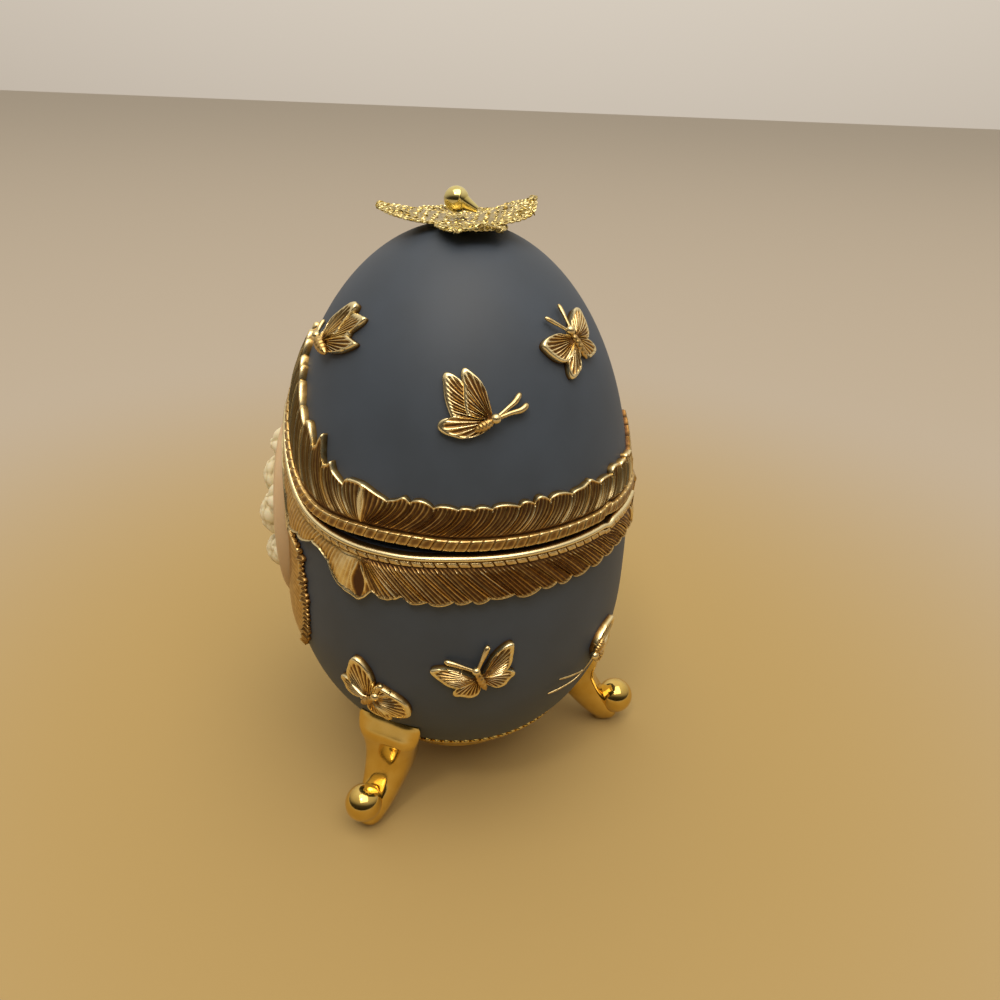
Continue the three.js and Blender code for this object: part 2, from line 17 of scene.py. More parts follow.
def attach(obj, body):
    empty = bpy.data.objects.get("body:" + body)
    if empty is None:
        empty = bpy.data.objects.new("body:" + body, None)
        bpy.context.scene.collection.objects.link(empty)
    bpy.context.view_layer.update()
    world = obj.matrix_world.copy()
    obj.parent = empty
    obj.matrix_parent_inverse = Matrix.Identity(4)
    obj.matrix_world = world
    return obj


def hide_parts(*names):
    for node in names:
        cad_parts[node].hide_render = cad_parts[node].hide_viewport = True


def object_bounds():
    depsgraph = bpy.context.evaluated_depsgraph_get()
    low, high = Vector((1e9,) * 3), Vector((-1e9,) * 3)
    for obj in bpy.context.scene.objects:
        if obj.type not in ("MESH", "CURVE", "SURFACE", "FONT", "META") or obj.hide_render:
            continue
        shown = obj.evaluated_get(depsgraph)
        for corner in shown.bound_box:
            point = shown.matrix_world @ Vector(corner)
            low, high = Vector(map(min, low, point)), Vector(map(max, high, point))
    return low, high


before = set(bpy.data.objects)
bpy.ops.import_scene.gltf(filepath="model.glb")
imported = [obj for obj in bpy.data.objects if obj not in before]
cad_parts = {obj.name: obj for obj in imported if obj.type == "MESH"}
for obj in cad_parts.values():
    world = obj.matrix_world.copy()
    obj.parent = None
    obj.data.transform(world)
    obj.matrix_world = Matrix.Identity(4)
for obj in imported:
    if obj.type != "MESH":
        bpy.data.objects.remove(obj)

MM = 0.001
CAD_BOX = [list(corner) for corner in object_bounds()]
print("Solids reach from", CAD_BOX[0], "to", CAD_BOX[1])

# %% [markdown]
# ## The camera
# The viewing angle was worked out from the straight edges and the egg's outline in the picture. The camera
# looks at the side of the egg from a little above, and it is rolled by two degrees. Setting it first means
# that every piece can be compared with the picture as soon as it is made.

# %% Place the camera
CAMERA_PLACE = Vector((127.863, 2.270, 121.799)) * MM
CAMERA_HEADING = math.radians(177.6)
CAMERA_PITCH = math.radians(28.5)
CAMERA_ROLL = math.radians(2.37)
PICTURE_SIDE = 1000
FOCAL_PIXELS = 789.8
SENSOR_WIDTH = 36.0

UP = Vector((0, 0, 1))
level_ahead = Vector((math.cos(CAMERA_HEADING), math.sin(CAMERA_HEADING), 0))
level_right = level_ahead.cross(UP)
ahead = math.cos(CAMERA_PITCH) * level_ahead - math.sin(CAMERA_PITCH) * UP
level_up = math.sin(CAMERA_PITCH) * level_ahead + math.cos(CAMERA_PITCH) * UP
picture_right = math.cos(CAMERA_ROLL) * level_right + math.sin(CAMERA_ROLL) * level_up
picture_up = math.cos(CAMERA_ROLL) * level_up - math.sin(CAMERA_ROLL) * level_right

camera = bpy.data.objects.new("camera", bpy.data.cameras.new("camera"))
camera.data.sensor_width = SENSOR_WIDTH
camera.data.lens = FOCAL_PIXELS / PICTURE_SIDE * SENSOR_WIDTH
camera.data.clip_start = 1 * MM
axes = Matrix((picture_right, picture_up, -ahead)).transposed()
camera.matrix_world = Matrix.Translation(CAMERA_PLACE) @ axes.to_4x4()
bpy.context.scene.collection.objects.link(camera)
bpy.context.scene.camera = camera
print("Camera lens", round(camera.data.lens, 2), "mm")

# %% [markdown]
# ## Node trees
# Materials and geometry trees are both graphs of nodes. One small function adds any node, gives it its
# settings and links or sets its inputs, so that each tree below reads as a list of steps. Colours are written
# as the usual hex values and turned into the linear values that shaders expect.

# %% Add a node, read a colour
def set_inputs(tree, node, inputs):
    for key, value in inputs.items():
        if isinstance(value, bpy.types.NodeSocket):
            tree.links.new(value, node.inputs[key])
        else:
            node.inputs[key].default_value = value


def add_node(tree, kind, settings=None, inputs=None):
    node = tree.nodes.new(kind)
    for name, value in (settings or {}).items():
        setattr(node, name, value)
    set_inputs(tree, node, inputs or {})
    return node


def colour(hex_code):
    shares = [int(hex_code[i:i + 2], 16) / 255 for i in (1, 3, 5)]
    linear = [s / 12.92 if s <= 0.04045 else ((s + 0.055) / 1.055) ** 2.4 for s in shares]
    return (*linear, 1.0)


print("Middle grey in linear light:", round(colour("#808080")[0], 3))

# %% [markdown]
# All the materials are made of the same few steps: a noise of some grain, a spread of values, a ramp of
# colours and a bump. Each step returns the socket that the next one is plugged into.

# %% Steps that the materials share
def new_material(name):
    """A material, its tree, and the place on the object by which its noises are looked up."""
    material = bpy.data.materials.new(name)
    material.use_nodes = True
    place = add_node(material.node_tree, "ShaderNodeTexCoord").outputs["Object"]
    return material, material.node_tree, place


def set_surface(tree, inputs):
    set_inputs(tree, tree.nodes["Principled BSDF"], inputs)


def per_metre(size_mm):
    """Texture scale that makes a pattern's features about this many millimetres."""
    return 1 / (size_mm * MM)


def noise(tree, place, grain, detail):
    return add_node(tree, "ShaderNodeTexNoise", None,
                    {"Vector": place, "Scale": per_metre(grain), "Detail": detail}).outputs["Fac"]


def spread(tree, value, low, high, start=0.0, end=1.0):
    """Values from start to end, made to run from low to high."""
    return add_node(tree, "ShaderNodeMapRange", None, {
        "Value": value, "From Min": start, "From Max": end, "To Min": low, "To Max": high}).outputs["Result"]


def ramp(tree, value, stops):
    """Colours for a value. Each stop is a place on the ramp and a hex code."""
    node = add_node(tree, "ShaderNodeValToRGB", None, {"Fac": value})
    elements = node.color_ramp.elements
    while len(elements) < len(stops):
        elements.new(0.5)
    for element, (position, hex_code) in zip(elements, stops):
        element.position = position
        element.color = colour(hex_code)
    return node.outputs["Color"]


def bump(tree, height, strength, depth):
    return add_node(tree, "ShaderNodeBump", None,
                    {"Height": height, "Strength": strength, "Distance": depth * MM}).outputs["Normal"]


print("A grain of half a millimetre is a texture scale of", round(per_metre(0.5)))

# %% [markdown]
# ## Satin lacquer
# The egg is sprayed with a matt slate-blue lacquer. To the eye it gives a soft, broad sheen, a very faint
# cloudiness and the fine pebbling that sprayed paint dries with. Two noises do this: a large one shifts the
# colour and the gloss a little, and a small one goes into the bump.

# %% Make the satin lacquer
LACQUER_CLOUD = 9.0
LACQUER_PEBBLE = 0.35


def satin_lacquer():
    material, tree, place = new_material("satin slate lacquer")
    cloud = noise(tree, place, LACQUER_CLOUD, 4.0)
    pebble = noise(tree, place, LACQUER_PEBBLE, 2.0)
    set_surface(tree, {
        "Base Color": ramp(tree, cloud, [(0.3, "#3a4451"), (0.7, "#404b5a")]),
        "Roughness": spread(tree, cloud, 0.52, 0.62),
        "Normal": bump(tree, pebble, 0.05, 0.1),
        "IOR": 1.5,
    })
    return material


LACQUER = satin_lacquer()
print("Made", LACQUER.name)

# %% [markdown]
# ## Antiqued brass
# The trim is stamped brass, gilt and then washed with brown so that the hollows stay dark while the ridges
# are rubbed bright. Each trim mesh carries an attribute called crest, which is 0 in a hollow and 1 on a
# ridge. In the middle of the base band's palmette the crest is set low instead, which paints in the shade
# that lies there. The material reads it, roughens it with a little noise, and lets it choose colour, gloss
# and how metallic it is.

# %% Make the antiqued brass
BRASS_WEAR = 0.9
BRASS_GRAIN = 0.12


def roughened_crest(tree, place, grain, amount):
    """The crest attribute, shifted up or down by a noise."""
    crest = add_node(tree, "ShaderNodeAttribute", {"attribute_name": "crest"}).outputs["Fac"]
    shift = spread(tree, noise(tree, place, grain, 3.0), -amount, amount)
    return add_node(tree, "ShaderNodeMath", {"operation": "ADD"}, {0: crest, 1: shift}).outputs["Value"]


def antiqued_brass():
    material, tree, place = new_material("antiqued gilt brass")
    worn = roughened_crest(tree, place, BRASS_WEAR, 0.22)
    grain = noise(tree, place, BRASS_GRAIN, 2.0)
    set_surface(tree, {
        "Base Color": ramp(tree, worn, [
            (0.05, "#553820"), (0.35, "#8f6c3a"), (0.6, "#c8a768"), (0.9, "#f3e3b2")]),
        "Metallic": spread(tree, worn, 0.75, 1.0, end=0.4),
        "Roughness": spread(tree, worn, 0.45, 0.26, end=0.8),
        "Normal": bump(tree, grain, 0.15, 0.03),
    })
    return material


BRASS = antiqued_brass()
print("Made", BRASS.name)

# %% [markdown]
# ## Polished gold plate
# The stand and the bead are cast, polished and gold-plated, the bead in a paler gold. They show clear
# reflections with only a slight haze from handling, so the roughness is low and a soft noise lets it vary.

# %% Make the polished plate
PLATE_HAZE = 2.5


def polished_plate(name, low, high):
    material, tree, place = new_material(name)
    haze = noise(tree, place, PLATE_HAZE, 4.0)
    set_surface(tree, {
        "Base Color": ramp(tree, haze, [(0.35, low), (0.65, high)]),
        "Roughness": spread(tree, haze, 0.07, 0.17),
        "Metallic": 1.0,
    })
    return material


PLATE = polished_plate("polished gold plate", "#d9b862", "#e2c474")
PALE_PLATE = polished_plate("pale gold plate", "#dccb80", "#eadd9e")
print("Made", PLATE.name, "and", PALE_PLATE.name)

# %% [markdown]
# ## Cast resin
# The cameo is two castings: a tan plaque and a cream relief glued to it. Resin lets a little light in under
# the surface, which rounds off the shading, and the hollows of the relief hold a thin brown wash. The
# relief's mesh carries the same crest attribute as the brass.

# %% Make the resins
RESIN_CLOUD = 4.0
RESIN_SKIN = 0.5


def cast_resin(name, hollow, low, high, roughness):
    material, tree, place = new_material(name)
    washed = roughened_crest(tree, place, RESIN_CLOUD, 0.15)
    skin = noise(tree, place, RESIN_SKIN, 2.0)
    set_surface(tree, {
        "Base Color": ramp(tree, washed, [(0.0, hollow), (0.4, low), (0.9, high)]),
        "Roughness": roughness,
        "Normal": bump(tree, skin, 0.1, 0.1),
        "IOR": 1.52,
        "Subsurface Weight": 0.15,
        "Subsurface Radius": (1.2 * MM, 0.8 * MM, 0.5 * MM),
        "Subsurface Scale": 1.0,
    })
    return material


TAN_RESIN = cast_resin("tan cast resin", "#a58660", "#cdb088", "#d6bb95", 0.5)
CREAM_RESIN = cast_resin("cream cast resin", "#a08656", "#e0d3a8", "#efe6c6", 0.45)
print("Made", TAN_RESIN.name, "and", CREAM_RESIN.name)

# %% [markdown]
# ## Lurex thread
# The rosette is tied from a gauze ribbon of gold lurex, a thin metal-coated thread that glitters because each
# twist of it faces another way. A fine cell noise gives every bit of thread its own gloss and tint.

# %% Make the lurex
THREAD_TWIST = 0.3


def lurex(name, dark, bright):
    material, tree, place = new_material(name)
    twist = add_node(tree, "ShaderNodeTexVoronoi", None, {"Vector": place, "Scale": per_metre(THREAD_TWIST)})
    spark = add_node(tree, "ShaderNodeSeparateColor", None, {"Color": twist.outputs["Color"]}).outputs
    set_surface(tree, {
        "Base Color": ramp(tree, spark["Red"], [(0.1, dark), (0.9, bright)]),
        "Roughness": spread(tree, spark["Green"], 0.18, 0.42),
        "Metallic": 0.95,
    })
    return material


THREAD = lurex("gold lurex thread", "#b8a052", "#f6eab4")
GAUZE = lurex("gold lurex gauze", "#8f7b40", "#c8b478")
print("Made", THREAD.name, "and", GAUZE.name)

# %% [markdown]
# ## Shapes from grids of points
# Almost every piece here is a grid of points bent into place: an egg shell is rows by columns, and so are a
# wing, a petal and a leg. A few helpers turn grids into closed shapes. Where a row of a grid shrinks to one
# point, as at the pole of a ball, the doubles are merged afterwards. Working with whole arrays keeps the
# script quick.

# %% Build closed shapes
PLAIN_CREST = 0.6


def as_points(x, y, z):
    return np.stack(np.broadcast_arrays(x, y, z), axis=-1)


def grid_faces(columns, rows, round_columns=False, round_rows=False):
    index = np.arange(columns * rows).reshape(columns, rows)
    here = index if round_columns else index[:-1]
    after = np.roll(index, -1, axis=0) if round_columns else index[1:]
    if round_rows:
        corners = here, after, np.roll(after, -1, axis=1), np.roll(here, -1, axis=1)
    else:
        corners = here[:, :-1], after[:, :-1], after[:, 1:], here[:, 1:]
    return np.stack(corners, axis=-1).reshape(-1, 4)


def signed_volume(points, faces):
    a, b, c, d = (points[faces[:, k]] for k in range(4))
    return np.sum(a * np.cross(b, c)) + np.sum(a * np.cross(c, d))


def shape(points, faces, crest=None):
    """Points, faces that point outwards, and the crest value of each point."""
    points = np.asarray(points, float).reshape(-1, 3)
    if signed_volume(points - points.mean(axis=0), faces) < 0:
        faces = faces[:, ::-1]
    crest = np.full(len(points), PLAIN_CREST) if crest is None else np.broadcast_to(crest, len(points))
    return points, faces, crest


def loft(rings, crest=None, closed=False):
    """A skin over a row of rings. The row closes on itself, or its end rings have shrunk to points."""
    rings = np.asarray(rings, float)
    columns, rows = rings.shape[:2]
    flat_crest = None if crest is None else np.broadcast_to(crest, (columns, rows)).reshape(-1)
    return shape(rings, grid_faces(columns, rows, closed, True), flat_crest)


def turned(columns):
    """A skin over columns of points that stand side by side all the way round."""
    return shape(columns, grid_faces(*columns.shape[:2], True))


def capped(rings):
    """The same rings with the middle of each end added, so that a loft of them is closed."""
    rings = np.asarray(rings, float)
    ends = [np.repeat(rings[k].mean(axis=0)[None], rings.shape[1], axis=0) for k in (0, -1)]
    return np.concatenate([ends[0][None], rings, ends[1][None]])


def slab(top, bottom, crest=None):
    """A closed shape between two grids of the same size, one above the other."""
    columns, rows = top.shape[:2]
    count = columns * rows
    index = np.arange(count).reshape(columns, rows)
    over = grid_faces(columns, rows)
    rim = np.concatenate([index[0, :-1], index[:-1, -1], index[-1, :0:-1], index[:0:-1, 0]])
    after = np.roll(rim, -1)
    walls = np.stack([rim, after, after + count, rim + count], axis=-1)
    faces = np.concatenate([over, over[:, ::-1] + count, walls])
    both = None
    if crest is not None:
        both = np.concatenate([np.broadcast_to(crest, (columns, rows)).reshape(-1), np.zeros(count)])
    return shape(np.concatenate([top.reshape(-1, 3), bottom.reshape(-1, 3)]), faces, both)


def raised(x, y, height, crest, depth=0.1):
    """A slab over flat places, from their heights down to a depth."""
    top = as_points(x, y, height)
    return slab(top, as_points(top[..., 0], top[..., 1], -depth), crest)


print("A grid of 3 by 4 points has", len(grid_faces(3, 4)), "faces")

# %% [markdown]
# A few curves come back in many shapes: a smooth step, a smooth line through given points, a bell and a row
# of ridges. The ball is the first shape that is made with these helpers.

# %% Curves that the shapes share
def smooth_step(low, high, value):
    share = np.clip((value - low) / (high - low), 0, 1)
    return share * share * (3 - 2 * share)


def smooth_curve(xs, ys, x):
    """A smooth curve through a few points."""
    xs, ys = np.asarray(xs, float), np.asarray(ys, float)
    slopes = np.gradient(ys, xs)
    k = np.clip(np.searchsorted(xs, x) - 1, 0, len(xs) - 2)
    step = xs[k + 1] - xs[k]
    t = (x - xs[k]) / step
    start = (2 * t**3 - 3 * t**2 + 1) * ys[k] + (t**3 - 2 * t**2 + t) * step * slopes[k]
    end = (3 * t**2 - 2 * t**3) * ys[k + 1] + (t**3 - t**2) * step * slopes[k + 1]
    return start + end


def bell(distance, width):
    return np.exp(-(distance / width) ** 2)


def ridges(turns, sharpness):
    """One ridge from 0 to 1 in every turn. The ridges get thinner as they get sharper."""
    return (0.5 + 0.5 * np.cos(2 * math.pi * turns)) ** sharpness


def whole_turn(count):
    return np.linspace(0, 2 * math.pi, count, endpoint=False)


def ball(centre, radius, rows=24, columns=36, crest=0.8):
    rise = np.linspace(0, math.pi, rows)[:, None]
    turn = whole_turn(columns)[None, :]
    unit = as_points(np.sin(rise) * np.cos(turn), np.sin(rise) * np.sin(turn), np.cos(rise))
    return loft(np.asarray(centre) + radius * unit, crest)


print("A ball of 24 rows and 36 columns has", len(ball((0, 0, 0), 1)[1]), "faces")

# %% [markdown]
# A list of shapes becomes one mesh, and a mesh becomes a piece of the scene. The crest values go into the
# mesh as an attribute, and edges that turn more than a given angle stay sharp.

# %% Make a mesh and a piece
MERGE_DISTANCE = 0.0005


def make_mesh(name, shapes, material, sharp_angle=50):
    """One mesh in metres from shapes in millimetres, smooth except where it turns sharply."""
    starts = np.cumsum([0] + [len(points) for points, _, _ in shapes])
    points = np.concatenate([points for points, _, _ in shapes]) * MM
    faces = np.concatenate([faces + start for (_, faces, _), start in zip(shapes, starts)])
    mesh = bpy.data.meshes.new(name)
    mesh.from_pydata(points.tolist(), [], faces.tolist())
    crest = mesh.attributes.new("crest", "FLOAT", "POINT")
    crest.data.foreach_set("value", np.concatenate([c for _, _, c in shapes]).astype(np.float32))
    work = bmesh.new()
    work.from_mesh(mesh)
    bmesh.ops.remove_doubles(work, verts=work.verts, dist=MERGE_DISTANCE * MM)
    work.to_mesh(mesh)
    work.free()
    mesh.shade_smooth()
    mesh.set_sharp_from_angle(angle=math.radians(sharp_angle))
    mesh.materials.append(material)
    return mesh


def add_piece(name, mesh):
    piece = bpy.data.objects.new(name, mesh)
    bpy.context.scene.collection.objects.link(piece)
    triangles = sum(len(face.vertices) - 2 for face in mesh.polygons)
    print(name, "has", triangles, "triangles")
    return piece


print("Points closer than", MERGE_DISTANCE, "mm are merged")

# %% [markdown]
# ## The form of the egg
# Everything sits on the egg, so its form is a formula: a radius for each height, with one curve above the
# widest place and another below it. A point on the egg is then an angle from the front, a height and a lift
# off the surface. The seam is a formula too: level round the back and arched over the cameo at the front.

# %% Describe the egg in millimetres and degrees
EGG_RADIUS = 31.0
WIDEST_Z = 41.6
UPPER_REACH, UPPER_POWER = 59.6, 2.4
LOWER_REACH, LOWER_POWER = 37.4, 2.32
WALL = 2.8
EGG_FLAT_Z = 9.0
TOP_Z = WIDEST_Z + UPPER_REACH

SEAM_Z = 60.0
ARCH_RISE, ARCH_ANGLE, ARCH_POWER = 12.3, 30.0, 2.5
GAP_CLOSED, GAP_WIDE, GAP_SIDE = 0.4, 1.4, 0.65
GAP_OPENS, GAP_NARROWS, GAP_ENDS = (42, 66), (74, 92), (138, 146)
NOTCH, NOTCH_ANGLE, NOTCH_SPREAD = 0.9, 141.5, 2.0


def all_angles(count):
    return np.linspace(-180, 180, count, endpoint=False)


def egg_radius(z, shrink=0.0):
    above = np.asarray(z) > WIDEST_Z
    reach = np.where(above, UPPER_REACH, LOWER_REACH) - shrink
    share = np.clip(np.abs(z - WIDEST_Z) / reach, 0, 1)
    return (EGG_RADIUS - shrink) * np.sqrt(1 - share ** np.where(above, UPPER_POWER, LOWER_POWER))


def egg_slope(z):
    step = 0.01
    return (egg_radius(z + step) - egg_radius(z - step)) / (2 * step)


def around_axis(angle, radius, z):
    turn = np.radians(angle)
    return as_points(radius * np.sin(turn), -radius * np.cos(turn), z)


def egg_point(angle, z, lift):
    slope = egg_slope(z)
    length = np.hypot(1, slope)
    return around_axis(angle, egg_radius(z) + lift / length, z - lift * slope / length)


def seam_z(angle):
    return SEAM_Z + ARCH_RISE * np.exp(-(np.abs(angle) / ARCH_ANGLE) ** ARCH_POWER)


def seam_gap(angle):
    """Closed over the cameo, widest at the palmette, narrow along the side, with a notch beside the hinge."""
    turn = np.abs(angle)
    beyond = smooth_step(*GAP_NARROWS, turn)
    wide = (GAP_WIDE - GAP_CLOSED) * smooth_step(*GAP_OPENS, turn) * (1 - beyond)
    side = (GAP_SIDE - GAP_CLOSED) * beyond * (1 - smooth_step(*GAP_ENDS, turn))
    return GAP_CLOSED + wide + side + NOTCH * bell(turn - NOTCH_ANGLE, NOTCH_SPREAD)


def lid_edge_z(angle):
    return seam_z(angle) + seam_gap(angle) / 2


def base_edge_z(angle):
    return seam_z(angle) - seam_gap(angle) / 2


print("The egg is", 2 * EGG_RADIUS, "mm wide and", round(TOP_Z, 2), "mm high at its crown")

# %% [markdown]
# ## The two halves of the egg
# Each half is a real shell with an outer wall, a rounded lip and an inner wall. The profile is walked from
# the pole down the outside, round the lip and back up the inside, once for each angle. At the back the wall
# makes room for the hinge barrel, and at the front the base is planed flat where the plaque is let in.

# %% Make the shells
SHELL_COLUMNS, OUTER_ROWS, LIP_ROWS, INNER_ROWS = 288, 90, 15, 50
LIP_ROUND = 0.5
CAMEO_Z = 50.7
PLAQUE_WIDTH, PLAQUE_HEIGHT = 27.6, 34.0
EGG_SHAVED_AT = 29.2
HINGE_Y, HINGE_Z = 30.2, SEAM_Z
BARREL_ROOM = 1.3
BARREL_ROOM_HALF = 5.95


def lip_rise(depth):
    """How far the lip's round takes it back from the edge, at a depth into the wall."""
    near = np.minimum(depth, WALL - depth)
    share = np.clip(1 - near / LIP_ROUND, 0, 1)
    return LIP_ROUND * (1 - np.sqrt(1 - share**2))


def eased(start, end, count):
    """Rows from start to end that crowd together toward the start."""
    share = 1 - np.cos(np.linspace(0, math.pi / 2, count))
    return start + (end - start) * share[None, :]


def shell_points(edge, way, outer_end, inner_end):
    """The outside, lip and inside of a shell. Its walls run from the end heights almost to its edge."""
    angles = all_angles(SHELL_COLUMNS)
    turn, edges = angles[:, None], edge(angles)[:, None]
    depth = WALL * (0.5 - 0.5 * np.cos(np.linspace(0, math.pi, LIP_ROWS)))[None, :]
    outer_z = eased(outer_end, edges + way * LIP_ROUND, OUTER_ROWS)
    lip_z = edges + way * lip_rise(depth)
    inner_z = eased(inner_end, edges + way * LIP_ROUND, INNER_ROWS)[:, ::-1]
    outside = around_axis(turn, egg_radius(outer_z), outer_z)
    lip = around_axis(turn, egg_radius(lip_z, depth), lip_z)
    inside = around_axis(turn, egg_radius(inner_z, WALL), inner_z)
    return outside, lip, inside


def make_room_for_hinge(points):
    away = points[..., 1:] - np.array([HINGE_Y, HINGE_Z])
    distance = np.linalg.norm(away, axis=-1)
    inside = (np.abs(points[..., 0]) < BARREL_ROOM_HALF) & (distance < BARREL_ROOM)
    moved = np.array([HINGE_Y, HINGE_Z]) + away * (BARREL_ROOM / np.maximum(distance, 1e-6))[..., None]
    points[..., 1:] = np.where(inside[..., None], moved, points[..., 1:])
    return points


def shave_front(points):
    across = points[..., 0] / (PLAQUE_WIDTH / 2)
    along = (points[..., 2] - CAMEO_Z) / (PLAQUE_HEIGHT / 2)
    under = (across**2 + along**2 < 1) & (points[..., 1] < -EGG_SHAVED_AT)
    points[..., 1] = np.where(under, -EGG_SHAVED_AT, points[..., 1])
    return points


def lid_shell():
    parts = shell_points(lid_edge_z, 1, TOP_Z, TOP_Z - WALL)
    return turned(make_room_for_hinge(np.concatenate(parts, axis=1)))


def base_shell():
    floor_z = EGG_FLAT_Z + WALL
    outside, lip, inside = shell_points(base_edge_z, -1, EGG_FLAT_Z, floor_z)
    under, floor = (np.broadcast_to([0, 0, z], (SHELL_COLUMNS, 1, 3)) for z in (EGG_FLAT_Z, floor_z))
    points = np.concatenate([under, shave_front(outside), lip, inside, floor], axis=1)
    return turned(make_room_for_hinge(points))


lid = add_piece("lid_shell", make_mesh("lid_shell", [lid_shell()], LACQUER))
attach(lid, "lid")
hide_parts("egg_lid")
base = add_piece("base_shell", make_mesh("base_shell", [base_shell()], LACQUER))
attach(base, "base")
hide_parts("egg_base")

# %% [markdown]
# ## A row of ornaments along a path
# Rope edges, lace edges and serrated rims are one small shape repeated along a path. This geometry tree takes
# the path as an object, spaces points along it by a pitch, and stands a copy of the ornament on each point.
# Two vectors steer the copies: the path's own direction, and an attribute called outward that says which way
# is up. An attribute called size lets the copies shrink where the row narrows.

# %% Build the row tree
def new_tree(name, sockets):
    """A geometry tree and its inputs: a geometry, then pairs of name and kind. It gives back a geometry."""
    tree = bpy.data.node_groups.new(name, "GeometryNodeTree")
    for socket, kind in [("Geometry", "Geometry"), *sockets]:
        tree.interface.new_socket(socket, in_out="INPUT", socket_type="NodeSocket" + kind)
    tree.interface.new_socket("Geometry", in_out="OUTPUT", socket_type="NodeSocketGeometry")
    return tree, add_node(tree, "NodeGroupInput").outputs


def read_attribute(tree, name, kind):
    node = add_node(tree, "GeometryNodeInputNamedAttribute", {"data_type": kind}, {"Name": name})
    return node.outputs["Attribute"]


def finish_tree(tree, geometry, material):
    finished = add_node(tree, "GeometryNodeSetMaterial", None, {"Geometry": geometry, "Material": material})
    add_node(tree, "NodeGroupOutput", None, {"Geometry": finished.outputs["Geometry"]})
    return tree


def row_tree():
    tree, given = new_tree("row of ornaments", [
        ("Path", "Object"), ("Ornament", "Object"), ("Pitch", "Float"), ("Material", "Material")])
    path = add_node(tree, "GeometryNodeObjectInfo", None, {"Object": given["Path"]})
    curve = add_node(tree, "GeometryNodeMeshToCurve", None, {"Mesh": path.outputs["Geometry"]})
    spaced = add_node(tree, "GeometryNodeResampleCurve", {"mode": "LENGTH"},
                      {"Curve": curve.outputs["Curve"], "Length": given["Pitch"]})
    along = add_node(tree, "GeometryNodeInputTangent")
    faced = add_node(tree, "FunctionNodeAlignRotationToVector", {"axis": "X"},
                     {"Vector": along.outputs["Tangent"]})
    stood = add_node(tree, "FunctionNodeAlignRotationToVector", {"axis": "Z", "pivot_axis": "X"}, {
        "Rotation": faced.outputs["Rotation"], "Vector": read_attribute(tree, "outward", "FLOAT_VECTOR")})
    ornament = add_node(tree, "GeometryNodeObjectInfo", None, {"Object": given["Ornament"]})
    copies = add_node(tree, "GeometryNodeInstanceOnPoints", None, {
        "Points": spaced.outputs["Curve"], "Instance": ornament.outputs["Geometry"],
        "Rotation": stood.outputs["Rotation"], "Scale": read_attribute(tree, "size", "FLOAT")})
    real = add_node(tree, "GeometryNodeRealizeInstances", None, {"Geometry": copies.outputs["Instances"]})
    joined = add_node(tree, "GeometryNodeJoinGeometry")
    tree.links.new(real.outputs["Geometry"], joined.inputs["Geometry"])
    tree.links.new(given["Geometry"], joined.inputs["Geometry"])
    return finish_tree(tree, joined.outputs["Geometry"], given["Material"])


ROW = row_tree()
print("The row tree has", len(ROW.nodes), "nodes")

# %% [markdown]
# A tree runs as a modifier on a mesh. The result is read back as a plain mesh, so that the helper objects can
# be thrown away.

# %% Run a tree
def path_object(points, outward, size=None, closed=False):
    """A line of points in millimetres, with the two attributes that the row tree reads."""
    count = len(points)
    edges = [(i, (i + 1) % count) for i in range(count if closed else count - 1)]
    mesh = bpy.data.meshes.new("path")
    mesh.from_pydata((np.asarray(points) * MM).tolist(), edges, [])
    store_vectors(mesh, "outward", outward)
    sizes = np.ones(count) if size is None else np.asarray(size, float)
    mesh.attributes.new("size", "FLOAT", "POINT").data.foreach_set("value", sizes.astype(np.float32))
    return helper_object(mesh)


def store_vectors(mesh, name, vectors):
    attribute = mesh.attributes.new(name, "FLOAT_VECTOR", "POINT")
    attribute.data.foreach_set("vector", np.asarray(vectors, np.float32).reshape(-1))


def helper_object(mesh):
    thing = bpy.data.objects.new(mesh.name, mesh)
    bpy.context.scene.collection.objects.link(thing)
    return thing


def run_tree(tree, mesh, values):
    """Runs a geometry tree on a mesh and returns the result as a plain mesh."""
    holder = helper_object(mesh)
    modifier = holder.modifiers.new(tree.name, "NODES")
    modifier.node_group = tree
    for item in tree.interface.items_tree:
        if item.in_out == "INPUT" and item.name in values:
            modifier[item.identifier] = values[item.name]
    graph = bpy.context.evaluated_depsgraph_get()
    result = bpy.data.meshes.new_from_object(
        holder.evaluated_get(graph), preserve_all_data_layers=True, depsgraph=graph)
    holder.modifiers.remove(modifier)
    used = [value for value in values.values() if isinstance(value, bpy.types.Object)]
    for thing in [holder, *used]:
        bpy.data.objects.remove(thing)
    result.materials.clear()
    result.materials.append(values["Material"])
    return result


print("Trees read their settings by the names of their inputs")

# %% [markdown]
# ## The bands along the seam
# Each half of the egg carries a stamped band: a rope along the seam, and beside it a feathered leaf that
# springs both ways from a fan-shaped palmette. The leaf is a fine grid whose columns follow the barbs.
# Leaning the columns away from the palmette makes its ribs spread like a fan and the barbs sweep like
# feathers, all from one rule. A thin ridge runs along every barb, the barbs gather into plumes, and each
# plume lifts the outer edge.

# %% Describe the bands
BAND_END = 163.0
LID_BAND_WIDTH, LID_ARCH_RISE, LID_ARCH_ANGLE, LID_ARCH_POWER = 7.0, 16.0, 36.5, 2.1
BASE_BAND_WIDTH = 9.5
FIELD_Z, FIELD_TILTS, FIELD_DROPS = 55.0, (33, 46), (47, 58)
SIDE_TILT, SIDE_TILTS_FROM = 0.037, 60
FRONT_REACH = 0.95
EDGING_ROOM = 1.2
PALMETTE_ANGLE = 63.0
PALMETTE_SPREAD = 0.9
ROPE_WIDTH = 2.0
ROPE_PITCH = 1.72
BARB_PITCH = 0.66
BARB_COLUMNS = 7
PLUME_WIDTHS = (2.4, 4.6)
PLUME_HEIGHTS = (0.45, 1.45)
EDGE_SAMPLES = 6001


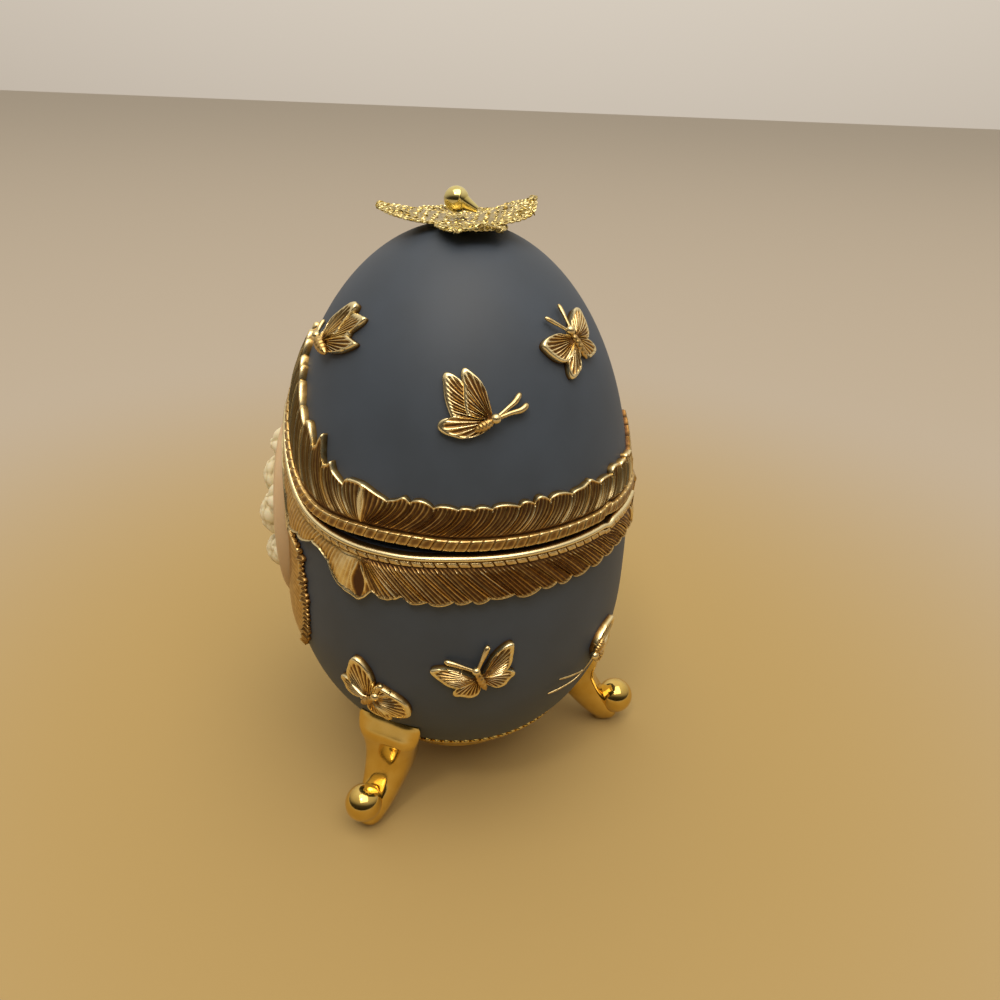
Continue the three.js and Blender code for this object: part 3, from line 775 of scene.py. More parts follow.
def lid_band_edge(angle):
    arch = LID_ARCH_RISE * np.exp(-(np.abs(angle) / LID_ARCH_ANGLE) ** LID_ARCH_POWER)
    return SEAM_Z + LID_BAND_WIDTH + arch


def base_band_edge(angle):
    """Down beside the cameo, level for a stretch, then down to the palmette and along the side."""
    turn = np.abs(angle)
    x = FRONT_REACH * EGG_RADIUS * np.sin(np.radians(np.minimum(turn, 90)))
    across = x / (PLAQUE_WIDTH / 2 + EDGING_ROOM)
    beside_cameo = CAMEO_Z + (PLAQUE_HEIGHT / 2 + EDGING_ROOM) * np.sqrt(np.clip(1 - across**2, 0, 1))
    field = np.maximum(beside_cameo, FIELD_Z + smooth_step(*FIELD_TILTS, turn))
    side = SEAM_Z - BASE_BAND_WIDTH + SIDE_TILT * np.maximum(0, turn - SIDE_TILTS_FROM)
    return field + (side - field) * smooth_step(*FIELD_DROPS, turn)


def edge_table(edge):
    """Angles along an edge and the distance of each from the front, measured along the edge."""
    angles = np.linspace(-BAND_END, BAND_END, EDGE_SAMPLES)
    places = egg_point(angles, edge(angles), 0.0)
    lengths = np.concatenate([[0], np.cumsum(np.linalg.norm(np.diff(places, axis=0), axis=1))])
    return angles, lengths - lengths[-1] / 2


def plume_share(distance, palmette, end, seed):
    """Where a place lies in its plume, from 0 to 1, and the plume's height. Plumes start at the palmette."""
    random = np.random.default_rng(seed)
    marks = [palmette - PALMETTE_SPREAD, palmette + PALMETTE_SPREAD]
    while marks[-1] < end + 1:
        marks.append(marks[-1] + random.uniform(*PLUME_WIDTHS))
    while marks[0] > -1:
        marks.insert(0, marks[0] - random.uniform(*PLUME_WIDTHS))
    marks = np.array(marks)
    heights = random.uniform(*PLUME_HEIGHTS, len(marks))
    k = np.clip(np.searchsorted(marks, distance, side="right") - 1, 0, len(marks) - 2)
    return (distance - marks[k]) / (marks[k + 1] - marks[k]), heights[k]


print("Lid band", LID_BAND_WIDTH, "mm wide at the side, base band", BASE_BAND_WIDTH, "mm")

# %% [markdown]
# The rope is a row of slanted pillows. Each pillow is a small closed shape of a few dozen faces, since it is
# repeated more than a hundred times along each band.

# %% Make the ornaments for the rows
def pillow(length, width, height, slant, dish):
    """A cushion along the path, its ends slanted like a strand of rope, its middle dished or not."""
    along = np.array([-1, -0.92, -0.75, -0.45, 0, 0.45, 0.75, 0.92, 1])[:, None]
    across = np.array([-1, -0.9, -0.7, -0.3, 0.3, 0.7, 0.9, 1])[None, :]
    swell = np.clip((1 - along**6) * (1 - across**6), 0, 1) ** 0.5
    hollow = dish * (1 - along**2) * (1 - across**2)
    x = along * length / 2 + slant * across * width / 2
    crest = np.clip(0.5 + 0.45 * swell - hollow, 0, 1)
    return raised(x, across * width / 2, height * (swell - 0.5 * hollow), crest, 0.15)


def ornament_object(ornament):
    return helper_object(make_mesh("ornament", [ornament], BRASS, 80))


def add_row(mesh, path, ornament, pitch, material):
    """A mesh with copies of an ornament along a path, so many millimetres apart."""
    return run_tree(ROW, mesh, {
        "Path": path, "Ornament": ornament_object(ornament), "Pitch": pitch * MM, "Material": material})


print("A rope bead has", len(pillow(1, 1, 1, 0, 0)[1]), "faces")

# %% [markdown]
# A place on a band is a distance along it and a share of the way across it. Each edge is measured along its
# own length. The two are matched at the front, at the palmettes and at the ends, so that the leaf doesn't
# shear where one edge is longer than the other.

# %% Find places on a band
def band_places(inner, outer):
    """Functions that find a place and an angle on a band, its palmette's distance and its half length."""
    inner_angles, inner_lengths = edge_table(inner)
    outer_angles, outer_lengths = edge_table(outer)
    half = inner_lengths[-1]
    palmette = np.interp(PALMETTE_ANGLE, inner_angles, inner_lengths)
    outer_palmette = np.interp(PALMETTE_ANGLE, outer_angles, outer_lengths)
    inner_marks = [-half, -palmette, 0, palmette, half]
    outer_marks = [outer_lengths[0], -outer_palmette, 0, outer_palmette, outer_lengths[-1]]

    def place(s, share, extra, lift):
        """A point at a distance along the band and a share of the way across it."""
        a = np.interp(s, inner_lengths, inner_angles)
        b = np.interp(np.interp(s, inner_marks, outer_marks), outer_lengths, outer_angles)
        low, high = inner(a), outer(b)
        across = share * (1 + extra)
        return egg_point(a + (b - a) * across, low + (high - low) * across, lift)

    def at_angle(angle):
        """How far along the band its outer edge comes to an angle from the front."""
        return np.interp(np.interp(angle, outer_angles, outer_lengths), outer_marks, inner_marks)

    return place, at_angle, palmette, half


for band_name, edges in (("lid", (lid_edge_z, lid_band_edge)), ("base", (base_edge_z, base_band_edge))):
    print("The", band_name, "band is", round(2 * band_places(*edges)[-1], 1), "mm long at the seam")

# %% [markdown]
# The relief is built of rows that run the whole length of the band. The first rows are the rope's bed, the
# next are the leaf, and the last two are the underside. The lift of a leaf's row adds up its belly, its
# plumes, ribs and outlines, and the rim at its edge.

# %% Shape a band
LEAF_ROWS = np.concatenate([np.linspace(0, 0.86, 20)[1:], [0.89, 0.915, 0.94, 0.965, 0.985, 1.0]])
LEAFY_WIDTH = (2.6, 5.0)
LEAN_SAMPLES = 4001
FRONT_FADE, END_FADE = 16.0, 7.0
EVEN_ROW = 0.75
MOST_ROPE = 0.72
RIB_SHARPNESS = 2.4
RIB_STRENGTHS, PLUME_EDGE, PLUME_EDGE_STRENGTH = (0.5, 1.1), 0.13, 1.45
LEAF_LIFT, BELLY_LIFT, DOME_LIFT, RIB_LIFT = 0.6, 0.3, 0.28, 0.3
OUTLINE_LIFT, SHELL_LIFT, RIM_LIFT, EDGE_DROP = 0.3, 0.3, 0.36, 0.2
RIM_ROW, RIM_BREADTH = 0.955, 0.03
UNDERSIDE = -0.1


def band_shape(inner, outer, leaf, seed):
    """The band's relief, and the path that its rope follows."""
    place, at_angle, palmette, half = band_places(inner, outer)

    def width_at(s):
        return np.linalg.norm(place(s, 1.0, 0.0, 0.0) - place(s, 0.0, 0.0, 0.0), axis=1)

    def lean_at(p):
        """How far a barb that starts here leans along the band by the time it reaches the outer edge."""
        distance = np.abs(p)
        side = np.tanh((distance - palmette) / PALMETTE_SPREAD)
        near, far = leaf["lean_back"]
        back = near + (far - near) * smooth_step(palmette, half, distance)
        front = leaf["lean_front"] * smooth_step(0, FRONT_FADE, distance)
        fade = smooth_step(half, half - END_FADE, distance) * smooth_step(*LEAFY_WIDTH, width_at(p))
        return np.sign(p) * side * fade * np.where(side > 0, back, front)

    dense = np.linspace(-half, half, LEAN_SAMPLES)
    evened = dense + EVEN_ROW * lean_at(dense)
    barbs = int(2 * half / BARB_PITCH) // 2 * 2
    p = np.interp(np.linspace(-half, half, barbs * BARB_COLUMNS + 1), evened, dense)
    distance = np.abs(p)
    width, lean = width_at(p), lean_at(p)
    rope_share = np.minimum(MOST_ROPE, ROPE_WIDTH / width)
    leafy = smooth_step(*LEAFY_WIDTH, width)
    behind = smooth_step(palmette - 1, palmette + 1, distance)
    plume, height = plume_share(distance, palmette, half, seed)
    fan = bell(distance - palmette, 0.35 * PALMETTE_SPREAD)
    lobe = height * np.sin(math.pi * plume ** 0.75) ** 0.6 - 0.5
    reach = leaf["lobe_front"] + (leaf["lobe_back"] - leaf["lobe_front"]) * behind
    tip = np.abs(p + lean)
    tall = sum(rise * bell(tip - at_angle(angle), breadth) for angle, rise, breadth in leaf["tall_plumes"])
    extra = leafy * (reach * lobe + 0.3 * fan + tall) / width

    ridge = ridges(np.arange(len(p)) % BARB_COLUMNS / BARB_COLUMNS, RIB_SHARPNESS)
    random = np.random.default_rng(seed + 1)
    strength = np.repeat(random.uniform(*RIB_STRENGTHS, barbs + 1), BARB_COLUMNS)[:len(p)]
    strength = np.where(np.minimum(plume, 1 - plume) < PLUME_EDGE, PLUME_EDGE_STRENGTH, strength)
    strength = strength * (leaf["front_ribs"] + (1 - leaf["front_ribs"]) * behind)
    plain = (1 - leaf["front_ribs"]) * (1 - behind)
    dome = np.sin(math.pi * plume) ** 0.5

    rows, crests = [], []
    for across, lift, crest in leaf["rope"]:
        rows.append(place(p, across * rope_share, 0.0, lift))
        crests.append(np.full(len(p), crest))
    for v in LEAF_ROWS:
        share = rope_share + (1 - rope_share) * v
        window = smooth_step(0.02, 0.14, v) * (1 - smooth_step(0.88, 0.95, v))
        rim = bell(v - RIM_ROW, RIM_BREADTH)
        along = p + lean * leaf["curve"](v)
        petal_half = leaf["petal"] * math.sin(math.pi * v ** 1.5)
        from_middle = np.abs(np.abs(along) - palmette)
        petal = 1 - smooth_step(petal_half - 0.15, petal_half + 0.15, from_middle)
        outline = bell(from_middle - petal_half, 0.22) * math.sin(math.pi * v) ** 0.5
        shell = leaf["shell"] * bell(palmette - np.abs(along) - petal_half - 1.9, 1.5)
        ribbed = ridge * strength * window * (1 - petal) * (1 - 0.6 * shell)
        belly = math.sin(math.pi * min(1, 0.15 + 0.85 * v))
        lift = (LEAF_LIFT + BELLY_LIFT * belly + DOME_LIFT * dome * v * leafy
                + RIB_LIFT * ribbed * (0.4 + 0.6 * leafy) + OUTLINE_LIFT * outline + SHELL_LIFT * shell
                + RIM_LIFT * rim - EDGE_DROP * (v > 0.99))
        rows.append(place(along, share, extra * v, lift))
        # Inside the palmette's middle petal the crest is a set value: rubbed bright on the lid, painted shade
        # on the base.
        bright = (0.08 + 0.6 * plain + 0.3 * shell) * (1 - petal) + leaf["petal_crest_and_shade"] * petal
        bright = bright + 0.8 * ribbed + 0.8 * rim + 0.75 * outline
        crests.append(np.clip(bright + 0.5 * (v > 0.98), 0, 1))
    rows += [place(p + lean * leaf["curve"](1.0), 1.0, extra, UNDERSIDE), place(p, 0.0, 0.0, UNDERSIDE)]
    crests += [np.full(len(p), 0.4), np.zeros(len(p))]
    crest = np.stack(crests, axis=1)
    relief = loft(capped(np.stack(rows, axis=1)), np.concatenate([crest[:1], crest, crest[-1:]]))
    middle = place(p, leaf["bead_row"] * rope_share, 0.0, leaf["bead_lift"])
    above = place(p, leaf["bead_row"] * rope_share, 0.0, leaf["bead_lift"] + 1)
    return relief, middle, above - middle


print("A leaf has", len(LEAF_ROWS), "rows and", BARB_COLUMNS, "columns to a barb")

# %% [markdown]
# The two bands differ in their leaves and ropes. On the lid the barbs leave the rope almost along it and then
# turn upward, and the whole rope is beaded. On the base the barbs are straight, and a smooth lip runs along
# the seam with smaller beads below it. A rope's rows are its place across the rope, its lift and its crest. A
# tall plume is an angle, a rise and a breadth, and a negative rise cuts a notch. A bead is a length, a width,
# a height, a slant and a dish.

# %% Make the two bands
LID_LEAF = {
    "lean_back": (4.2, 1.8), "lean_front": 3.6, "curve": lambda v: math.sin(v * math.pi / 2),
    "lobe_back": 0.85, "lobe_front": 1.5, "front_ribs": 0.95, "petal": 0.4, "petal_crest_and_shade": 0.75, "shell": 0.0,
    "tall_plumes": [(45, 2.4, 0.7), (50.5, 0.8, 0.5), (76, 0.8, 1.0), (133, 1.0, 1.2)],
    "rope": [(0, 0.6, 0.2), (0.04, 0.85, 0.4), (0.12, 0.95, 0.4), (0.3, 0.95, 0.3), (0.7, 0.95, 0.3),
             (0.86, 0.95, 0.4), (0.93, 1.0, 0.8), (1.0, 0.62, 0.1)],
    "bead_row": 0.47, "bead_lift": 0.9, "bead": (1.02, 0.86, 0.5, 0.5, 0.8),
}
BASE_LEAF = {
    "lean_back": (6.0, 4.6), "lean_front": 2.2, "curve": lambda v: v ** 0.9,
    # The low petal value paints dark shade into the middle of the base palmette, which is not a hollow.
    "lobe_back": 0.7, "lobe_front": 0.5, "front_ribs": 0.3, "petal": 1.15, "petal_crest_and_shade": 0.05, "shell": 1.0,
    "tall_plumes": [(62.6, 0.5, 0.9), (67.2, -1.2, 0.9), (72.2, 0.2, 0.9), (76.3, -1.1, 0.9)],
    "rope": [(0, 0.6, 0.5), (0.05, 1.0, 0.85), (0.14, 1.3, 0.95), (0.27, 1.42, 1.0), (0.4, 1.3, 0.95),
             (0.5, 1.0, 0.5), (0.54, 0.85, 0.15), (0.92, 0.8, 0.15), (1.0, 0.6, 0.1)],
    "bead_row": 0.75, "bead_lift": 0.75, "bead": (0.95, 0.42, 0.4, -0.5, 0.35),
}


def band_piece(name, inner, outer, leaf, seed):
    relief, path, outward = band_shape(inner, outer, leaf, seed)
    length, width, height, slant, dish = leaf["bead"]
    bead = pillow(ROPE_PITCH * length, ROPE_WIDTH * width, height, slant, dish)
    mesh = make_mesh(name, [relief], BRASS, 80)
    return add_piece(name, add_row(mesh, path_object(path, outward), bead, ROPE_PITCH, BRASS))


lid_trim = band_piece("lid_trim", lid_edge_z, lid_band_edge, LID_LEAF, 11)
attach(lid_trim, "lid")
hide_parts("lid_band")
base_trim = band_piece("base_trim", base_edge_z, base_band_edge, BASE_LEAF, 23)
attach(base_trim, "base")
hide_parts("base_band")

# %% [markdown]
# ## The butterflies
# A butterfly is stamped brass too: veined wings with raised borders, a ringed body, a round head and two
# blunt antennae. A wing is drawn as a fan about its root, so its veins radiate as real ones do, and its
# outline is a few pairs of direction and length. The wings are made flat and then laid on the egg.

# %% Make wings, bodies and feelers
ROOT_LIFT, VEIN_LIFT, BORDER_LIFT, EDGE_ROUND = 0.4, 0.28, 0.24, 0.25
SIDE_BORDER = 0.1
BODY_POINTS, BODY_RINGS, RING_DEPTH, HEAD_RADIUS = 26, 6, 0.09, 0.75


def wing(root, outline, lift, veins):
    """A wing as a fan about its root. The outline is pairs of direction in degrees and length."""
    directions, lengths = zip(*sorted(outline))
    t = np.linspace(0, 1, 81)[:, None]
    q = np.concatenate([np.linspace(0, 0.84, 12), [0.88, 0.92, 0.96, 1.0]])[None, :]
    direction = directions[0] + (directions[-1] - directions[0]) * t
    reach = smooth_curve(directions, lengths, direction)
    x = root[0] + reach * q * np.cos(np.radians(direction))
    y = root[1] + reach * q * np.sin(np.radians(direction))
    ridge = ridges(veins * t, 1.4)
    window = smooth_step(0.12, 0.3, q) * (1 - smooth_step(0.82, 0.9, q))
    border = np.maximum(smooth_step(0.83, 0.9, q), 1 - smooth_step(0, SIDE_BORDER, np.minimum(t, 1 - t)))
    height = (lift + ROOT_LIFT * (1 - q) + VEIN_LIFT * ridge * window + BORDER_LIFT * border
              - EDGE_ROUND * smooth_step(0.97, 1.0, q))
    return raised(x, y, height, np.clip(0.12 + 0.8 * ridge * window + 0.8 * border, 0, 1))


def tube(path, radii, sides, crest=0.75):
    """A tube along points given as across, up and off the surface. Its ends close."""
    path = np.asarray(path, float)
    run = np.gradient(path[:, :2], axis=0)
    run /= np.linalg.norm(run, axis=1)[:, None]
    beside = np.stack([-run[:, 1], run[:, 0], np.zeros(len(path))], axis=1)
    turn = whole_turn(sides)[None, :, None]
    rings = path[:, None] + np.asarray(radii)[:, None, None] * (
        np.cos(turn) * beside[:, None] + np.sin(turn) * np.array([0, 0, 1.0]))
    return loft(capped(rings), crest)


def feeler(radius, points):
    """An antenna over a few points, lying lower and swelling a little toward its blunt end."""
    points = np.asarray(points, float)
    steps = np.linspace(0, len(points) - 1, 18)
    across, up = (smooth_curve(np.arange(len(points)), points[:, k], steps) for k in range(2))
    share = steps / steps[-1]
    blunt = np.sqrt(1 - np.clip(share - 0.9, 0, 1) / 0.14)
    radii = radius * (0.72 + 0.4 * smooth_step(0.2, 0.8, share)) * blunt
    return tube(np.stack([across, up, 1.4 - 0.7 * share], axis=1), radii, 10)


def body(head, tail, lift, thickness):
    """A ringed body from head to tail, and a round head."""
    head, tail = np.asarray(head, float), np.asarray(tail, float)
    share = np.linspace(0, 1, BODY_POINTS)
    path = np.concatenate([head + (tail - head) * share[:, None], np.full((BODY_POINTS, 1), lift)], axis=1)
    thick = thickness * np.sin(math.pi * np.clip(0.12 + 0.86 * share, 0, 1)) ** 0.6
    radii = thick * (1 + RING_DEPTH * np.cos(2 * math.pi * BODY_RINGS * share))
    middle = head + (head - tail) / np.linalg.norm(head - tail) * 0.45
    return [tube(path, radii, 14, 0.6), ball((*middle, lift + 0.15), HEAD_RADIUS, 10, 14)]


print("A body and its head have", sum(len(part[1]) for part in body((0, 1), (0, -1), 1, 1)), "faces")

# %% [markdown]
# Three designs are seen from above with their wings open. The left wings mirror the right ones, except where
# a wing was pushed out of place.

# %% Draw the open butterflies
WING_ROOT = (0.25, 0.2)
HIND_LIFT, FORE_LIFT = 0.75, 0.95
FOREWING = [(44, 3.6), (40, 5.4), (36, 6.7), (31, 7.8), (27, 8.1), (21, 7.5), (12, 6.5), (2, 5.8), (-8, 5.0),
            (-17, 4.2)]
HINDWING = [(-10, 3.4), (-17, 4.8), (-24, 5.9), (-30, 6.2), (-38, 5.7), (-46, 5.5), (-54, 5.5), (-62, 5.2),
            (-71, 4.5), (-80, 2.9)]
SMALL_FOREWING = [(58, 1.8), (48, 3.0), (40, 3.9), (32, 4.9), (26, 5.5), (20, 5.8), (11, 5.5), (1, 5.1),
                  (-10, 4.7), (-22, 4.2), (-31, 3.6)]
SMALL_HINDWING = [(-26, 3.0), (-34, 4.0), (-40, 5.1), (-47, 5.9), (-54, 5.7), (-63, 5.0), (-73, 4.3),
                  (-81, 2.9)]
BROAD_FOREWING = [(126, 2.6), (116, 3.5), (104, 3.8), (91, 4.0), (78, 4.3), (66, 4.9), (54, 5.6), (42, 6.2),
                  (30, 6.6), (18, 6.7), (8, 6.0), (-5, 5.1), (-15, 4.3)]
TALL_FOREWING = [(66, 3.2), (58, 4.6), (50, 6.0), (43, 7.1), (37, 7.9), (31, 8.2), (25, 7.8), (14, 6.6),
                 (2, 5.8), (-8, 5.0), (-17, 4.2)]


def wing_pair(lift, right, right_veins, left=None, left_veins=None):
    x, y = WING_ROOT
    mirrored = [(180 - direction, length) for direction, length in left or right]
    return [wing((x, y), right, lift, right_veins), wing((-x, y), mirrored, lift, left_veins or right_veins)]


def spread_butterfly():
    wings = wing_pair(HIND_LIFT, HINDWING, 8) + wing_pair(FORE_LIFT, FOREWING, 9)
    return wings + body((0, 1.5), (0, -3.0), 1.35, 0.7) + [
        feeler(0.46, [(0.3, 2.0), (1.4, 3.2), (2.5, 4.4), (3.5, 5.5)]),
        feeler(0.46, [(-0.3, 2.0), (-1.6, 3.2), (-3.0, 4.3), (-4.4, 5.2)])]


def broad_butterfly():
    """The same butterfly with its forewings pushed forward until they meet. Its antennae are stubby."""
    forewings = wing_pair(FORE_LIFT, BROAD_FOREWING, 13, TALL_FOREWING, 10)
    return wing_pair(HIND_LIFT, HINDWING, 8) + forewings + body((0, 1.5), (0, -3.0), 1.35, 0.7) + [
        feeler(0.42, [(0.3, 2.0), (0.6, 2.8), (0.9, 3.6), (1.2, 4.4)]),
        feeler(0.42, [(-0.3, 2.0), (-0.5, 2.8), (-0.7, 3.6), (-0.8, 4.4)])]


def small_butterfly():
    """A smaller one with broad fan-shaped wings."""
    wings = wing_pair(HIND_LIFT, SMALL_HINDWING, 6) + wing_pair(FORE_LIFT, SMALL_FOREWING, 11)
    return wings + body((0, 1.1), (0, -3.3), 1.3, 0.6) + [
        feeler(0.3, [(0.25, 1.5), (0.85, 2.8), (1.5, 3.9), (2.1, 5.0)]),
        feeler(0.3, [(-0.25, 1.5), (-0.85, 2.8), (-1.4, 3.9), (-1.9, 5.0)])]


print("A spread butterfly is", len(spread_butterfly()), "shapes")

# %% [markdown]
# The others are seen from the side with their wings folded up over the body, so that one wing hides part of
# the next.

# %% Draw the folded butterflies
NEAR_WING = [(78, 1.7), (82, 3.8), (86.6, 5.3), (94, 6.85), (99, 7.75), (105, 7.5), (111, 6.2), (121, 5.1),
             (135, 4.2), (151, 3.4)]
FAR_WING = [(108, 5.4), (112, 7.6), (117, 8.7), (121, 8.7), (128, 7.9), (139, 6.95), (151, 6.05), (159, 5.6)]
LOW_WING = [(157, 4.6), (163, 6.6), (170, 7.4), (175, 7.4), (180, 6.9), (186, 6.0), (196, 4.8), (208, 3.1),
            (226, 1.4)]


def folded_body():
    """A body seen from its side with the wings folded up and the head to the right."""
    root = (-0.3, 0)
    shapes = [wing(root, FAR_WING, 0.7, 12), wing(root, LOW_WING, 0.85, 7), wing(root, NEAR_WING, 1.0, 12)]
    return shapes + body((-0.2, 0.0), (-3.0, -0.7), 1.35, 0.75)


def folded_butterfly():
    return folded_body() + [feeler(0.4, [(0.6, 0.3), (2.2, 0.9), (3.6, 1.4), (4.8, 2.2)]),
                            feeler(0.44, [(0.7, 0.1), (2.5, 0.15), (4.1, 0.0), (5.4, 0.4)])]


def long_horned_butterfly():
    """The folded butterfly with thin antennae that run on along the egg."""
    return folded_body() + [feeler(0.16, [(0.6, 0.3), (3.1, 0.9), (5.0, -0.4), (7.4, -2.7)]),
                            feeler(0.16, [(0.7, 0.1), (4.6, 1.0), (7.6, 0.0), (10.2, -1.3)])]


SWEPT_NEAR_WING = [(125, 1.8), (111, 2.9), (100, 3.9), (87, 5.0), (78, 6.3), (73, 7.2), (68, 7.5), (62, 7.1),
                   (57, 5.6), (51, 4.2), (40, 3.4)]
SWEPT_FAR_WING = [(64, 6.2), (55, 7.0), (48, 7.6), (41, 8.1), (37, 7.3), (34, 6.0), (27, 5.3)]
SWEPT_LOW_WING = [(27, 5.2), (20, 6.3), (14, 7.3), (9, 6.6), (4, 5.6), (-2, 4.7), (-9, 3.6), (-22, 2.4)]


def swept_butterfly():
    """Seen from its side with its wings swept back in a fan and its head to the left."""
    root = (0.1, 0)
    shapes = [wing(root, SWEPT_FAR_WING, 0.7, 9), wing(root, SWEPT_LOW_WING, 0.85, 7),
              wing(root, SWEPT_NEAR_WING, 1.0, 14)]
    return shapes + body((-1.5, 0.1), (2.6, -1.2), 1.4, 0.9) + [
        feeler(0.36, [(-2.3, 0.3), (-3.1, 0.9), (-3.7, 1.6), (-4.1, 2.5)]),
        feeler(0.36, [(-2.4, 0.1), (-3.4, 0.2), (-4.2, 0.5), (-4.9, 1.0)])]


print("A folded butterfly is", len(folded_butterfly()), "shapes")

# %% [markdown]
# A row of this list is a name, a design, an angle from the front, a height, a turn in degrees and a size.
# Each butterfly is laid on the right side of the egg and mirrored to the left.

# %% Lay the butterflies on the egg
BUTTERFLIES = [
    ("butterfly_lid_front", swept_butterfly, 31, 84.7, 0, 1.0),
    ("butterfly_lid_side", folded_butterfly, 101.4, 78.7, 15, 1.0),
    ("butterfly_lid_back", small_butterfly, 139, 86.8, 18.4, 1.0),
    ("butterfly_base_front", broad_butterfly, 63.7, 29.7, -43, 1.0),
    ("butterfly_base_side", spread_butterfly, 97.7, 37.7, 21, 0.92),
    ("butterfly_base_back", long_horned_butterfly, 139.4, 33.9, -146, 1.0),
]


def laid_on_egg(points, angle, z, turn, size):
    """Flat points, across, up and off the surface, bent round the egg at a place."""
    a = math.radians(turn)
    x = size * (points[:, 0] * math.cos(a) - points[:, 1] * math.sin(a))
    y = size * (points[:, 0] * math.sin(a) + points[:, 1] * math.cos(a))
    height = z + y / np.hypot(1, egg_slope(z))
    return egg_point(angle + np.degrees(x / egg_radius(height)), height, points[:, 2])


for name, design, angle, z, turn, size in BUTTERFLIES:
    for side_name, sign in (("right", 1), ("left", -1)):
        laid = []
        for points, faces, crest in design():
            bent = laid_on_egg(points, angle, z, turn, size) * np.array([sign, 1, 1])
            laid.append(shape(bent, faces, crest))
        node = f"{name}_{side_name}"
        piece = add_piece(f"gilt_{node}", make_mesh(node, laid, BRASS, 60))
        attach(piece, "lid" if "lid" in name else "base")
        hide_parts(node)

# %% [markdown]
# ## The cameo
# The plaque is an oval casting let into the front, with a softly domed face. Its profile is pairs of a share
# of the way out from its middle and a distance in front of its edge.

# %% Make the plaque
PLAQUE_FRONT = 30.5
PLAQUE_BACK = 22.0
BACK_SET = PLAQUE_BACK - PLAQUE_FRONT
PLAQUE_PROFILE = np.array([
    (0, 0.5), (0.2, 0.49), (0.4, 0.45), (0.6, 0.38), (0.75, 0.3), (0.86, 0.2), (0.92, 0.12), (0.955, 0.04),
    (0.98, -0.1), (0.993, -0.3), (1.0, -0.6), (1.0, -1.5), (1.0, -3.5), (1.0, BACK_SET), (0, BACK_SET)])


def plaque_shape():
    turn = whole_turn(144)[:, None]
    share, front = PLAQUE_PROFILE.T[:, None, :]
    x = PLAQUE_WIDTH / 2 * share * np.cos(turn)
    z = CAMEO_Z + PLAQUE_HEIGHT / 2 * share * np.sin(turn)
    return turned(as_points(x, -(PLAQUE_FRONT + front), z))


plaque = add_piece("plaque", make_mesh("plaque", [plaque_shape()], TAN_RESIN))
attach(plaque, "base")
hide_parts("cameo_plaque")

# %% [markdown]
# The relief is a bouquet: three full roses, smaller five-petalled flowers and leaves. A cast flower is one
# smooth mound, so each is a grid of rings and rays whose height steps up at scalloped petal edges. A row for
# a flower is its middle, radius, rise and turn.

# %% Make the bouquet
BOUQUET_Z = 52.6
BOUQUET_BACK = PLAQUE_FRONT + 0.2
ROSES = [((0.4, -3.5), 5.1, 5.6, 0.3), ((0.2, 4.0), 4.4, 4.2, 1.0), ((-0.2, -11.6), 4.3, 5.4, 0.7)]
SMALL_FLOWERS = [((0.2, 10.2), 3.3, 2.3, 0.1), ((6.0, 2.2), 3.5, 2.6, 0.2), ((-6.0, 1.8), 3.5, 2.6, 0.8),
                 ((5.6, -7.6), 3.4, 2.6, 1.1), ((-5.6, -7.4), 3.4, 2.6, 0.4)]
LEAF_COUNT, LEAF_OVAL, LEAF_OVAL_Z = 10, (3.6, 7.4), -1.9
LEAF_LENGTH, LEAF_WIDTH, LEAF_RISE = 6.2, 3.9, 1.3


def bloom(middle, radius, rise, turn, petals, scallop, rings):
    """A flower head as one mound. Each ring is a number of petals whose edges step up toward the heart."""
    around = whole_turn(60)[None, :]
    share = np.linspace(0, 1, 26)[:, None]
    lobes = np.abs(np.cos(petals * (around - turn) / 2)) ** 0.7
    steps, grooves = 0 * share * around, 0 * share * around
    for number, (count, place) in enumerate(rings):
        edge = place * (0.84 + 0.16 * np.abs(np.cos(count * (around - turn - 0.7 * number) / 2)) ** 0.6)
        steps = steps + smooth_step(edge + 0.05, edge - 0.05, share) / len(rings)
        grooves = np.maximum(grooves, bell(share - edge - 0.06, 0.05))
    furrow = (1 - lobes) * smooth_step(0.35, 0.95, share)
    height = rise * (0.1 + 0.72 * (1 - share**4) + 0.18 * steps) * (1 - 0.7 * scallop * furrow)
    reach = radius * share * (1 - scallop + scallop * lobes)
    top = as_points(middle[0] + reach * np.cos(around), middle[1] + reach * np.sin(around), height)
    rim = top[-1] * np.array([1, 1, 0]) - np.array([0, 0, 0.3])
    under = np.repeat(rim.mean(axis=0)[None], len(rim), axis=0)
    crest = np.clip(0.95 - 0.6 * grooves - 0.4 * furrow, 0, 1)
    crest = np.concatenate([crest, np.zeros((2, crest.shape[1]))])
    return loft(np.concatenate([top, rim[None], under[None]]), crest)


def rose(middle, radius, rise, turn):
    return bloom(middle, radius, rise, turn, 7, 0.12, ((6, 0.82), (5, 0.6), (4, 0.38), (2, 0.18)))


def small_flower(middle, radius, rise, turn):
    return bloom(middle, radius, rise, turn, 5, 0.32, ((1, 0.34),))


def cast_leaf(middle, turn):
    """A pointed leaf with a midrib and veins."""
    along = np.linspace(0, 1, 18)[:, None]
    across = np.linspace(-1, 1, 13)[None, :]
    half = LEAF_WIDTH / 2 * np.sin(math.pi * along ** 0.8) ** 0.9 + 0.02
    vein = bell(across, 0.12)
    ribs = ridges(4 * along - 1.1 * np.abs(across), 1)
    mound = LEAF_RISE * (0.55 + 0.45 * np.sin(math.pi * along)) * (1 - 0.6 * across**2)
    x = middle[0] + LEAF_LENGTH * along * math.cos(turn) - half * across * math.sin(turn)
    z = middle[1] + LEAF_LENGTH * along * math.sin(turn) + half * across * math.cos(turn)
    return raised(x, z, mound - 0.2 * vein + 0.08 * ribs, np.clip(0.5 + 0.3 * ribs - 0.5 * vein, 0, 1))


